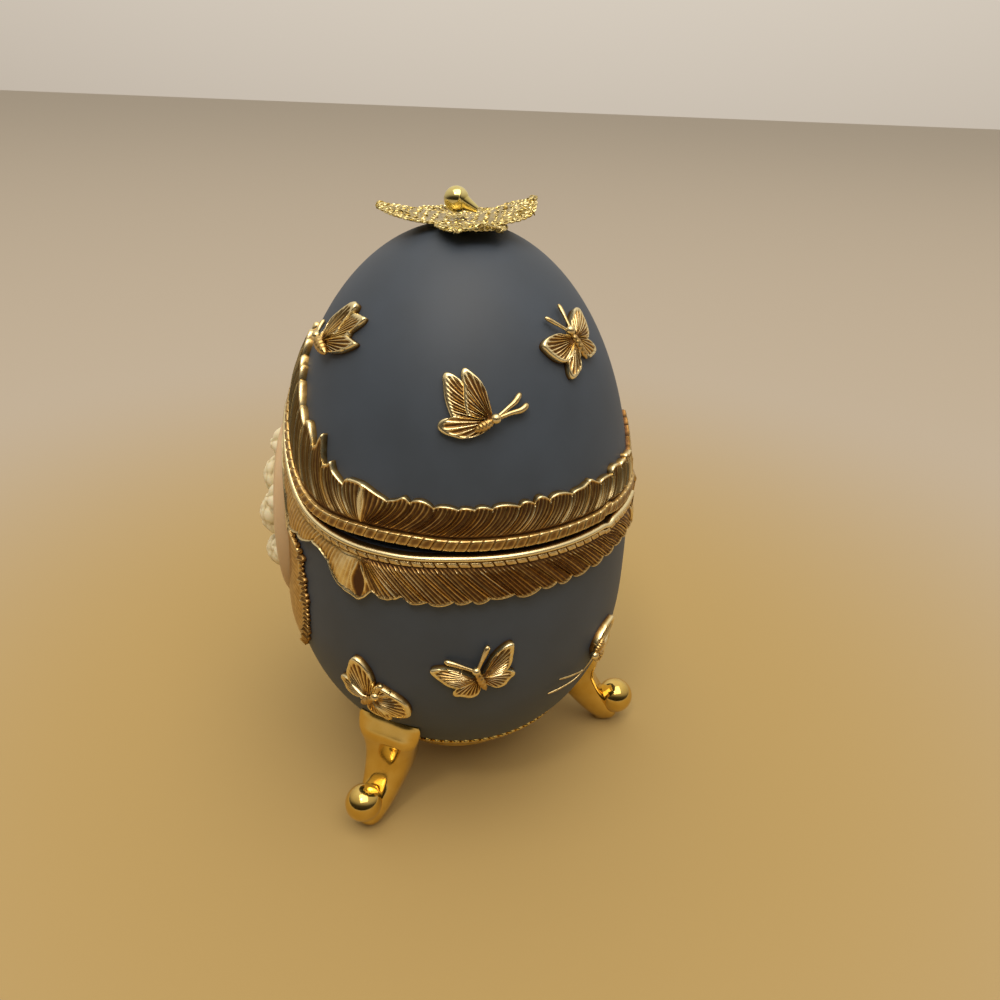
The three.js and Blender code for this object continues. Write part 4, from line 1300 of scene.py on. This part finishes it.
def bouquet_shapes():
    shapes = []
    for k in range(LEAF_COUNT):
        angle = 2 * math.pi * (k + 0.5) / LEAF_COUNT
        start = (LEAF_OVAL[0] * math.cos(angle), LEAF_OVAL_Z + LEAF_OVAL[1] * math.sin(angle))
        shapes.append(cast_leaf(start, angle))
    shapes += [rose(*row) for row in ROSES] + [small_flower(*row) for row in SMALL_FLOWERS]
    placed = []
    for points, faces, crest in shapes:
        front = np.stack([points[:, 0], -BOUQUET_BACK - points[:, 2], BOUQUET_Z + points[:, 1]], axis=-1)
        placed.append(shape(front, faces, crest))
    return placed


bouquet = add_piece("bouquet", make_mesh("bouquet", bouquet_shapes(), CREAM_RESIN, 60))
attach(bouquet, "base")
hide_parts("cameo_relief")

# %% [markdown]
# A gilt border hides the joint between plaque and egg. It is a thin strip over the top of the oval, where the
# seam band comes close, and spreads into a broad, faintly ribbed apron at the sides and below. The row tree
# sets small pointed leaves along its outer edge.

# %% Make the cameo's edging
EDGING_TOOTH = 1.0
EDGING_TOP, EDGING_SIDE, EDGING_BOTTOM = 0.75, 4.2, 8.2
EDGING_RIB = 0.9
EDGING_INSET = 0.1
TOOTH_SIZES = (0.6, 1.25)


def on_front(turn, out, lift):
    """A point on the egg, outside the plaque's oval by a distance."""
    x = (PLAQUE_WIDTH / 2 + out) * np.cos(turn)
    z = CAMEO_Z + (PLAQUE_HEIGHT / 2 + out) * np.sin(turn)
    return egg_point(np.degrees(np.arcsin(x / egg_radius(z))), z, lift)


def edging_width(turn):
    down = -np.sin(turn)
    side = EDGING_TOP + (EDGING_SIDE - EDGING_TOP) * smooth_step(-0.2, 0.0, down)
    return side + (EDGING_BOTTOM - EDGING_SIDE) * smooth_step(0.05, 0.75, down)


def edging_strip():
    """The border's surface: a bead beside the plaque, a ribbed field and a raised outer rim."""
    turn = whole_turn(640)[:, None]
    share = np.concatenate([[0, 0], np.linspace(0, 1, 26), [1]])[None, :]
    width = edging_width(turn)
    across = width * share
    middle_line = on_front(turn[:, 0], 3.0, 0.0)
    lengths = np.cumsum(np.linalg.norm(np.diff(middle_line, axis=0, append=middle_line[:1]), axis=1))
    ribs = round(lengths[-1] / EDGING_RIB)
    rib = ridges(ribs * lengths / lengths[-1], 1.5)[:, None]
    inner_bead = bell(across - 0.35, 0.25)
    rim = bell(width - across - 0.25, 0.22)
    field = smooth_step(0.5, 1.2, across) * smooth_step(0.3, 0.8, width - across)
    lift = 0.55 + 0.25 * np.sin(math.pi * share) + 0.12 * inner_bead + 0.05 * rib * field + 0.2 * rim
    lift[:, 0] = lift[:, -1] = -0.1
    crest = np.clip(0.5 + 0.12 * inner_bead + 0.1 * rib * field + 0.25 * rim, 0, 1)
    return loft(on_front(turn, EDGING_INSET + across, lift), crest, True)


def pointed_leaf(length, width, height):
    along = np.linspace(0, 1, 9)[:, None]
    across = np.linspace(-1, 1, 7)[None, :]
    half = width / 2 * np.sqrt(1 - along**1.8) + 0.02
    ridge = bell(across, 0.2)
    lift = height * (1 - 0.4 * along) * (1 - 0.55 * across**2) + 0.18 * ridge * (1 - along)
    crest = 0.2 + 0.6 * ridge + 0.35 * np.abs(across) ** 4
    return raised(half * across, length * along, lift, crest, 0.2)


def edging():
    turn = -whole_turn(480)
    rim = edging_width(turn)
    path = on_front(turn, rim, 0.2)
    outward = on_front(turn, rim, 1.2) - path
    size = 0.5 + 0.5 * smooth_step(EDGING_TOP, EDGING_SIDE, rim)
    size = size * np.random.default_rng(5).uniform(*TOOTH_SIZES, len(turn))
    tooth = pointed_leaf(EDGING_TOOTH * 1.3, EDGING_TOOTH * 1.15, 0.8)
    strip = make_mesh("edging", [edging_strip()], BRASS, 70)
    return add_row(strip, path_object(path, outward, size, True), tooth, EDGING_TOOTH, BRASS)


cameo_edging = add_piece("cameo_edging", edging())
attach(cameo_edging, "base")
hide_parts("cameo_frame")

# %% [markdown]
# ## The stand
# Three cabriole legs hold a shallow cup. Each leg flares out at the top, where it lies on the egg and ends in
# a bevel, narrows to an ankle, and turns out to a toe with a ball on it. A leg is a loft through a few
# stations, each with a height, a reach, a depth and half a width, and a smooth curve fills in between them.
# The face is hollowed a little, which is what breaks its reflections into patches. A ball is a reach from the
# axis, a radius and a height.

# %% Make the legs and their balls
FRONT_BALL, BACK_BALL = (33.0, 3.3, 5.9), (33.9, 3.6, 5.5)
FRONT_LEG_TOP, FRONT_LEG_FOOT = 65.5, 61.5
LEG_STATIONS = np.array([
    (0.0, 32.8, 4.2, 1.5),
    (1.0, 33.6, 5.4, 2.2),
    (2.4, 33.4, 6.6, 2.7),
    (5.5, 32.0, 7.8, 3.4),
    (9.0, 30.3, 8.3, 4.1),
    (13.0, 29.1, 7.7, 4.8),
    (16.0, 29.0, 6.0, 5.4),
    (17.2, 29.1, 5.2, 5.7),
    (18.2, 28.95, 4.5, 5.9),
    (19.2, 28.45, 3.5, 6.05),
    (20.2, 27.95, 2.5, 6.1),
    (21.0, 27.55, 1.6, 6.0),
    (21.6, 27.2, 0.9, 5.7),
])
TOE_SHIFTS_BELOW = 14
FACE_HOLLOW, FACE_HOLLOW_BREADTH, FACE_HOLLOW_FROM = 0.09, 0.55, (4, 9)


def leg_shapes(top_angle, foot_angle, foot_ball):
    ball_reach, ball_radius, ball_z = foot_ball
    heights, reaches, depths, halves = LEG_STATIONS.T
    z = np.linspace(0, heights[-1], 64)[:, None]
    outer, depth, half = (smooth_curve(heights, values, z) for values in (reaches, depths, halves))
    outer = outer + (ball_reach - FRONT_BALL[0]) * (1 - smooth_step(0, TOE_SHIFTS_BELOW, z))
    turn = np.linspace(-math.pi, math.pi, 48, endpoint=False)[None, :]
    ahead_share = np.sign(np.cos(turn)) * np.abs(np.cos(turn)) ** 0.75
    hollow = FACE_HOLLOW * depth * bell(turn, FACE_HOLLOW_BREADTH) * smooth_step(*FACE_HOLLOW_FROM, z)
    out = outer - depth / 2 + depth / 2 * ahead_share - hollow
    beside = half * np.sin(turn)
    angle = np.radians(foot_angle + (top_angle - foot_angle) * z / heights[-1])
    x = out * np.sin(angle) + beside * np.cos(angle)
    y = -out * np.cos(angle) + beside * np.sin(angle)
    foot = around_axis(foot_angle, ball_reach, ball_z)
    return [loft(capped(as_points(x, y, z))), ball(foot, ball_radius, 40, 56)]


legs = leg_shapes(FRONT_LEG_TOP, FRONT_LEG_FOOT, FRONT_BALL)
legs += leg_shapes(-FRONT_LEG_TOP, -FRONT_LEG_FOOT, FRONT_BALL)
legs += leg_shapes(180, 180, BACK_BALL)
print("Three legs with balls from", len(legs), "shapes")

# %% [markdown]
# The cup is turned, so its wall follows the egg a fifth of a millimetre away. Its rim ends in a row of little
# petals that show as a serrated gold line against the egg.

# %% Make the cup and put the stand together
CUP_BOTTOM_Z, CUP_RIM_Z, CUP_WALL, CUP_GAP = 7.2, 14.9, 0.25, 0.2
CUP_FOOT_RADIUS, CUP_BED_RADIUS = 16.6, 16.2
RIM_PETAL = 1.75
PETAL_ROOT_Z = CUP_RIM_Z - 0.6


def cup_shape():
    angle = all_angles(160)[:, None]
    heights = np.linspace(EGG_FLAT_Z + 0.4, CUP_RIM_Z - 0.4, 10)[None, :]
    outside = egg_point(angle, heights, CUP_GAP + CUP_WALL)
    rim = np.concatenate([egg_point(angle, CUP_RIM_Z + rise, CUP_GAP + CUP_WALL * share)
                          for rise, share in ((-0.15, 0.9), (0.0, 0.5), (-0.15, 0.1))], axis=1)
    inside = egg_point(angle, heights[:, ::-1], CUP_GAP)
    floor_z = EGG_FLAT_Z - CUP_GAP
    under = [around_axis(angle, radius, CUP_BOTTOM_Z) for radius in (0, CUP_FOOT_RADIUS)]
    bed = [around_axis(angle, radius, floor_z) for radius in (CUP_BED_RADIUS, 0)]
    return turned(np.concatenate([*under, outside, rim, inside, *bed], axis=1))


def stand_mesh():
    angle = all_angles(400)
    path = egg_point(angle, PETAL_ROOT_Z, CUP_GAP)
    outward = egg_point(angle, PETAL_ROOT_Z, CUP_GAP + 1) - path
    rim_petal = pointed_leaf(RIM_PETAL * 0.65, RIM_PETAL * 1.1, 0.25)
    cup_and_legs = make_mesh("stand", [cup_shape(), *legs], PLATE, 60)
    return add_row(cup_and_legs, path_object(path, outward, None, True), rim_petal, RIM_PETAL, PLATE)


stand = add_piece("stand", stand_mesh())
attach(stand, "base")
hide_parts("egg_stand")

# %% [markdown]
# ## The hinge
# The hinge is hidden at the back between the ends of the bands. Each half has a pointed leaf with a few
# veins, and knuckles that turn on one pin. It is kept plainer than the sides, as such hinges are.

# %% Make the hinge
BARREL_RADIUS, PIN_RADIUS = 0.95, 0.45
HINGE_HALF, BARREL_HALF, LID_KNUCKLE_HALF, HINGE_PLAY = 7.6, 5.6, 2.0, 0.3
LEAF_FROM, LID_LEAF_TO, BASE_LEAF_TO = 1.6, 10.6, 7.8
LEAF_RIBS = 4.5
PIN_OVERHANG = 0.25


def hinge_leaf(start, tip):
    across = np.linspace(-1, 1, 61)[:, None]
    along = np.concatenate([np.linspace(0, 0.88, 20), [0.92, 0.95, 0.98, 1.0]])[None, :]
    end = start + (tip - start) * (0.45 + 0.55 * (1 - np.abs(across) ** 1.5))
    scallop = 1 - 0.06 * np.abs(np.sin(across * LEAF_RIBS * math.pi))
    z = start + (end - start) * along * scallop
    x = HINGE_HALF * 0.98 * across
    angle = 180 - np.degrees(np.arcsin(x / egg_radius(z)))
    rib = ridges(across * LEAF_RIBS * (1 + 0.5 * (1 - along)), 1.3)
    window = smooth_step(0.1, 0.25, along) * (1 - smooth_step(0.85, 0.93, along))
    rim = np.maximum(bell(along - 0.95, 0.04), bell(np.abs(across) - 0.97, 0.03))
    lift = 0.6 + 0.25 * rib * window + 0.2 * rim
    crest = np.clip(0.15 + 0.7 * rib * window + 0.7 * rim, 0, 1)
    return slab(egg_point(angle, z, lift), egg_point(angle, z, 0 * lift), crest)


def barrel(radius, start, end, crest=0.55):
    """A round bar along the hinge line with softened ends."""
    x = np.array([start, start, start + 0.15, start + 0.3, end - 0.3, end - 0.15, end, end])
    r = radius * np.array([0.6, 0.85, 0.97, 1, 1, 0.97, 0.85, 0.6])
    turn = whole_turn(28)[None, :]
    y = HINGE_Y + r[:, None] * np.cos(turn)
    z = HINGE_Z + r[:, None] * np.sin(turn)
    return loft(capped(as_points(x[:, None], y, z)), crest)


def web(start, end, way):
    """The strip that joins a knuckle to its leaf."""
    x = np.linspace(start, end, 5)[:, None]
    z = HINGE_Z + way * np.linspace(0.3, 2.4, 6)[None, :]
    y = HINGE_Y + 0.8 * BARREL_RADIUS - 0.12 * np.linspace(0, 1, 6)[None, :]
    top = as_points(x, y, z)
    return slab(top, top - np.array([0, 0.9, 0]), 0.5)


def hinge_piece(name, node, body_name, shapes):
    piece = add_piece(name, make_mesh(name, shapes, BRASS, 50))
    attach(piece, body_name)
    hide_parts(node)


knuckle_from = LID_KNUCKLE_HALF + HINGE_PLAY
hinge_piece("lid_hinge_leaf", "hinge_lid_leaf", "lid", [
    hinge_leaf(HINGE_Z + LEAF_FROM, HINGE_Z + LID_LEAF_TO),
    barrel(BARREL_RADIUS, -LID_KNUCKLE_HALF, LID_KNUCKLE_HALF), web(-LID_KNUCKLE_HALF, LID_KNUCKLE_HALF, 1)])
hinge_piece("base_hinge_leaf", "hinge_base_leaf", "base", [
    hinge_leaf(HINGE_Z - LEAF_FROM, HINGE_Z - BASE_LEAF_TO),
    barrel(BARREL_RADIUS, -BARREL_HALF, -knuckle_from), web(-BARREL_HALF, -knuckle_from, -1),
    barrel(BARREL_RADIUS, knuckle_from, BARREL_HALF), web(knuckle_from, BARREL_HALF, -1)])
pin_half = BARREL_HALF + PIN_OVERHANG
hinge_piece("pin", "hinge_pin", "base", [barrel(PIN_RADIUS, -pin_half, pin_half, 0.9)])

# %% [markdown]
# ## The ribbon rosette
# Five loops of gauze ribbon are gathered under the bead. Each loop runs out along the crown, folds over and
# comes back on top of itself, so a loop is a sheet whose two layers part in the middle and meet at the fold.
# A row of the list is a loop's direction, length, lift, twist and taper, and the rows differ as the loops of
# a hand-tied bow do.

# %% Shape the loops
LOOP_ROOT = 0.8
LOOP_GAP = 0.24
RIBBON_HALF = 4.9
RIBBON_WIDTH, RIBBON_LENGTH = 10.0, 110.0
GAUZE_THICKNESS = 0.1
LOOPS = [
    (-4, 13.2, 2.0, 0.0, 0.89),
    (106, 9.4, 0.5, 0.0, 0.72),
    (174, 11.0, 3.1, 0.22, 0.74),
    (236, 10.5, 0.3, 0.0, 0.72),
    (300, 10.5, 0.3, 0.0, 0.72),
]


def loop_points(turn, length, lift, twist, taper, u, v):
    """Places on a loop: u runs from -1 at the root to 0 at the fold and back to 1, v across the ribbon."""
    reach = LOOP_ROOT + (length - LOOP_ROOT) * np.cos(math.pi * u / 2) ** 0.7
    share = reach / length
    half = RIBBON_HALF * np.sin(math.pi * (0.1 + taper * share)) ** 0.8
    across = half * v
    parted = LOOP_GAP * np.sin(math.pi * u) * (1 - 0.8 * v**2)
    height = 0.15 + lift * share**1.5 + parted + twist * across * share
    height = height - 0.35 * v**2 * share + 0.1 * np.sin(9 * u + 3 * v + turn)
    a = math.radians(turn)
    x = reach * math.sin(a) + across * math.cos(a)
    y = -reach * math.cos(a) + across * math.sin(a)
    return as_points(x, y, TOP_Z + height)


def grid_normals(points):
    run, cross = np.gradient(points, axis=(0, 1))
    normal = np.cross(run, cross)
    return normal / np.maximum(np.linalg.norm(normal, axis=-1, keepdims=True), 1e-9)


def gauze_mesh():
    shapes = []
    for loop in LOOPS:
        u = np.linspace(-1, 1, 61)[:, None]
        v = np.linspace(-1, 1, 17)[None, :]
        middle = loop_points(*loop, u, v)
        away = grid_normals(middle) * GAUZE_THICKNESS / 2
        shapes.append(slab(middle + away, middle - away))
    return make_mesh("ribbon", shapes, GAUZE, 80)


ribbon = add_piece("ribbon", gauze_mesh())
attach(ribbon, "lid")
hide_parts("ribbon_rosette")

# %% [markdown]
# The gauze is knitted from lurex, so its surface is a net of tiny loops and its edges are a row of larger
# ones. A second geometry tree puts a ring on every point of a net that follows the ribbon. The row tree from
# before sets the larger rings along both edges.

# %% Build the stitch tree
STITCH_TIP, STITCH_TURN = 0.35, 3.1


def stitch_tree():
    tree, given = new_tree("stitches on a net", [
        ("Stitch", "Object"), ("Stitch size", "Float"), ("Size spread", "Float"), ("Seed", "Int"),
        ("Material", "Material")])
    stood = add_node(tree, "FunctionNodeAlignRotationToVector", {"axis": "Z"},
                     {"Vector": read_attribute(tree, "outward", "FLOAT_VECTOR")})
    most = Vector((STITCH_TIP, STITCH_TIP, STITCH_TURN))
    tip = add_node(tree, "FunctionNodeRandomValue", {"data_type": "FLOAT_VECTOR"},
                   {"Min": -most, "Max": most, "Seed": given["Seed"]})
    tipped = add_node(tree, "FunctionNodeRotateRotation", {"rotation_space": "LOCAL"},
                      {"Rotation": stood.outputs["Rotation"], "Rotate By": tip.outputs["Value"]})
    shrink = add_node(tree, "FunctionNodeRandomValue", {"data_type": "FLOAT"},
                      {2: 0.0, 3: given["Size spread"], "Seed": given["Seed"]})
    size = add_node(tree, "ShaderNodeMath", {"operation": "SUBTRACT"},
                    {0: given["Stitch size"], 1: shrink.outputs[1]})
    stitch = add_node(tree, "GeometryNodeObjectInfo", None, {"Object": given["Stitch"]})
    copies = add_node(tree, "GeometryNodeInstanceOnPoints", None, {
        "Points": given["Geometry"], "Instance": stitch.outputs["Geometry"],
        "Rotation": tipped.outputs["Rotation"], "Scale": size.outputs["Value"]})
    real = add_node(tree, "GeometryNodeRealizeInstances", None, {"Geometry": copies.outputs["Instances"]})
    return finish_tree(tree, real.outputs["Geometry"], given["Material"])


KNIT = stitch_tree()
print("The stitch tree has", len(KNIT.nodes), "nodes")

# %% [markdown]
# The net stops a little short of the ribbon's edges and leaves out the tips, where there is no room for
# stitches. The edge rings shrink toward a tip.

# %% Knit the threads
STITCH, STITCH_THREAD = 0.9, 0.1
STITCH_SIZE, STITCH_SIZE_SPREAD = 1.15, 0.4
EDGE_LOOP, EDGE_THREAD = 1.15, 0.11
NARROWEST_NET = 1.6
NET_END, NET_SIDE = 0.97, 0.93
EDGE_END, EDGE_INSIDE = 0.98, 0.94
SMALLEST_RING = 0.3


def ring(radius, thread, sides, wire):
    turn, roll = whole_turn(sides)[:, None], whole_turn(wire)[None, :]
    reach = radius + thread * np.cos(roll)
    return loft(as_points(reach * np.cos(turn), reach * np.sin(turn), thread * np.sin(roll)), 0.8, True)


def net_mesh():
    """Points a stitch apart all over the ribbon, each with the way it faces."""
    points, outward = [], []
    for loop in LOOPS:
        u = np.linspace(-NET_END, NET_END, int(2 * loop[1] / STITCH))[:, None]
        v = np.linspace(-NET_SIDE, NET_SIDE, int(RIBBON_WIDTH * 0.8 / STITCH))[None, :]
        middle = loop_points(*loop, u, v)
        wide = np.linalg.norm(middle[:, -1] - middle[:, 0], axis=1) > NARROWEST_NET
        points.append(middle[wide].reshape(-1, 3))
        outward.append(grid_normals(middle)[wide].reshape(-1, 3))
    mesh = bpy.data.meshes.new("net")
    mesh.from_pydata((np.concatenate(points) * MM).tolist(), [], [])
    store_vectors(mesh, "outward", np.concatenate(outward))
    return mesh


def edge_path():
    """Both edges of every loop, each as points, the way they face and the sizes of their rings."""
    paths = []
    for loop in LOOPS:
        u = np.linspace(-EDGE_END, EDGE_END, 81)[:, None]
        strip = loop_points(*loop, u, np.array([[-1.0, -EDGE_INSIDE, EDGE_INSIDE, 1.0]]))
        normal = grid_normals(strip)
        width = np.linalg.norm(strip[:, -1] - strip[:, 0], axis=1)
        size = SMALLEST_RING + (1 - SMALLEST_RING) * np.clip(width / RIBBON_HALF, 0, 1)
        paths += [(strip[:, side], normal[:, side], size) for side in (0, -1)]
    return paths


stitches = run_tree(KNIT, net_mesh(), {
    "Stitch": ornament_object(ring(0.5 * STITCH, STITCH_THREAD, 9, 4)), "Stitch size": STITCH_SIZE,
    "Size spread": STITCH_SIZE_SPREAD, "Seed": 7, "Material": THREAD})
for path, normal, size in edge_path():
    edge_ring = ring(0.5 * EDGE_LOOP, EDGE_THREAD, 10, 5)
    stitches = add_row(stitches, path_object(path, normal, size), edge_ring, 0.8 * EDGE_LOOP, THREAD)
stitches.shade_smooth()
threads = add_piece("ribbon_threads", stitches)
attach(threads, "lid")

# %% [markdown]
# ## The bead
# A small polished ball holds the gathers down. A tapered shank runs from it toward the back, where it is sewn
# through the ribbon.

# %% Make the bead
BEAD_RADIUS = 1.95
BEAD_CENTRE = np.array([0, -0.9, TOP_Z + 1.25 + BEAD_RADIUS])


def bead_shapes():
    share = np.linspace(0, 1, 16)[:, None]
    turn = whole_turn(32)[None, :]
    thick = 1.75 - 1.2 * share**0.8
    x = 0.3 + thick * np.cos(turn)
    y = 0.3 + 2.9 * share + 0.3 * thick * np.sin(turn)
    z = 0.1 - 1.5 * share + 0.9 * thick * np.sin(turn)
    shank = as_points(x, y, z) + BEAD_CENTRE
    return [ball(BEAD_CENTRE, BEAD_RADIUS, 40, 56), loft(capped(shank), 0.9)]


bead_piece = add_piece("bead", make_mesh("bead", bead_shapes(), PALE_PLATE))
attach(bead_piece, "lid")
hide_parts("finial_bead")

# %% [markdown]
# ## The studio
# A plain pale floor, one very large soft lamp overhead and a small one beside the camera show the satin
# lacquer's broad sheen and put one clear highlight on each polished ball. The light is warm, as household
# light is. The room is pale above and behind the object and dark in front of it, so polished metal reflects
# a gradient and not a flat grey.

# %% Set the floor and the light
FLOOR_HALF = 3.0
SAND_REACH = (0.06, 0.25)
BRIGHT_SIDE = Vector((-0.45, 0.05, 0.89))
ROOM_STRENGTH = 1.15
LAMPS_AIM = Vector((0, 0, 0.05))


def floor_material():
    material, tree, place = new_material("pale floor")
    distance = add_node(tree, "ShaderNodeVectorMath", {"operation": "LENGTH"}, {0: place})
    share = add_node(tree, "ShaderNodeMapRange", {"interpolation_type": "SMOOTHSTEP"}, {
        "Value": distance.outputs["Value"], "From Min": SAND_REACH[0], "From Max": SAND_REACH[1]})
    set_surface(tree, {
        "Base Color": ramp(tree, share.outputs["Result"], [(0.0, "#ae955f"), (1.0, "#b3a99a")]),
        "Roughness": 0.85,
    })
    return material


def area_lamp(name, place, size, power, hex_code):
    lamp = bpy.data.lights.new(name, "AREA")
    lamp.size = size
    lamp.energy = power
    lamp.color = colour(hex_code)[:3]
    thing = bpy.data.objects.new(name, lamp)
    thing.location = place
    aim = LAMPS_AIM - Vector(place)
    thing.rotation_euler = aim.to_track_quat("-Z", "Y").to_euler()
    bpy.context.scene.collection.objects.link(thing)


def room_light():
    world = bpy.data.worlds.new("room")
    bpy.context.scene.world = world
    world.use_nodes = True
    tree = world.node_tree
    direction = add_node(tree, "ShaderNodeTexCoord").outputs["Generated"]
    facing = add_node(tree, "ShaderNodeVectorMath", {"operation": "DOT_PRODUCT"},
                      {0: direction, 1: BRIGHT_SIDE}).outputs["Value"]
    share = spread(tree, facing, 0.0, 1.0, start=-1.0)
    set_inputs(tree, tree.nodes["Background"], {
        "Color": ramp(tree, share, [
            (0.27, "#14110e"), (0.5, "#3f3932"), (0.66, "#b5aa9c"), (0.95, "#e8e0d3")]),
        "Strength": ROOM_STRENGTH,
    })


floor_mesh = bpy.data.meshes.new("floor")
floor_corners = [(x * FLOOR_HALF, y * FLOOR_HALF, 0) for x, y in ((-1, -1), (1, -1), (1, 1), (-1, 1))]
floor_mesh.from_pydata(floor_corners, [], [(0, 1, 2, 3)])
floor_mesh.materials.append(floor_material())
floor = bpy.data.objects.new("floor", floor_mesh)
bpy.context.scene.collection.objects.link(floor)

area_lamp("overhead", (0.5, 0.12, 1.6), 1.5, 18.0, "#fff1df")
area_lamp("beside_camera", (0.3, -0.12, 0.6), 0.08, 0.5, "#fff3e2")
room_light()
bpy.context.scene.view_settings.view_transform = "Standard"
print("Two lamps and a pale floor")
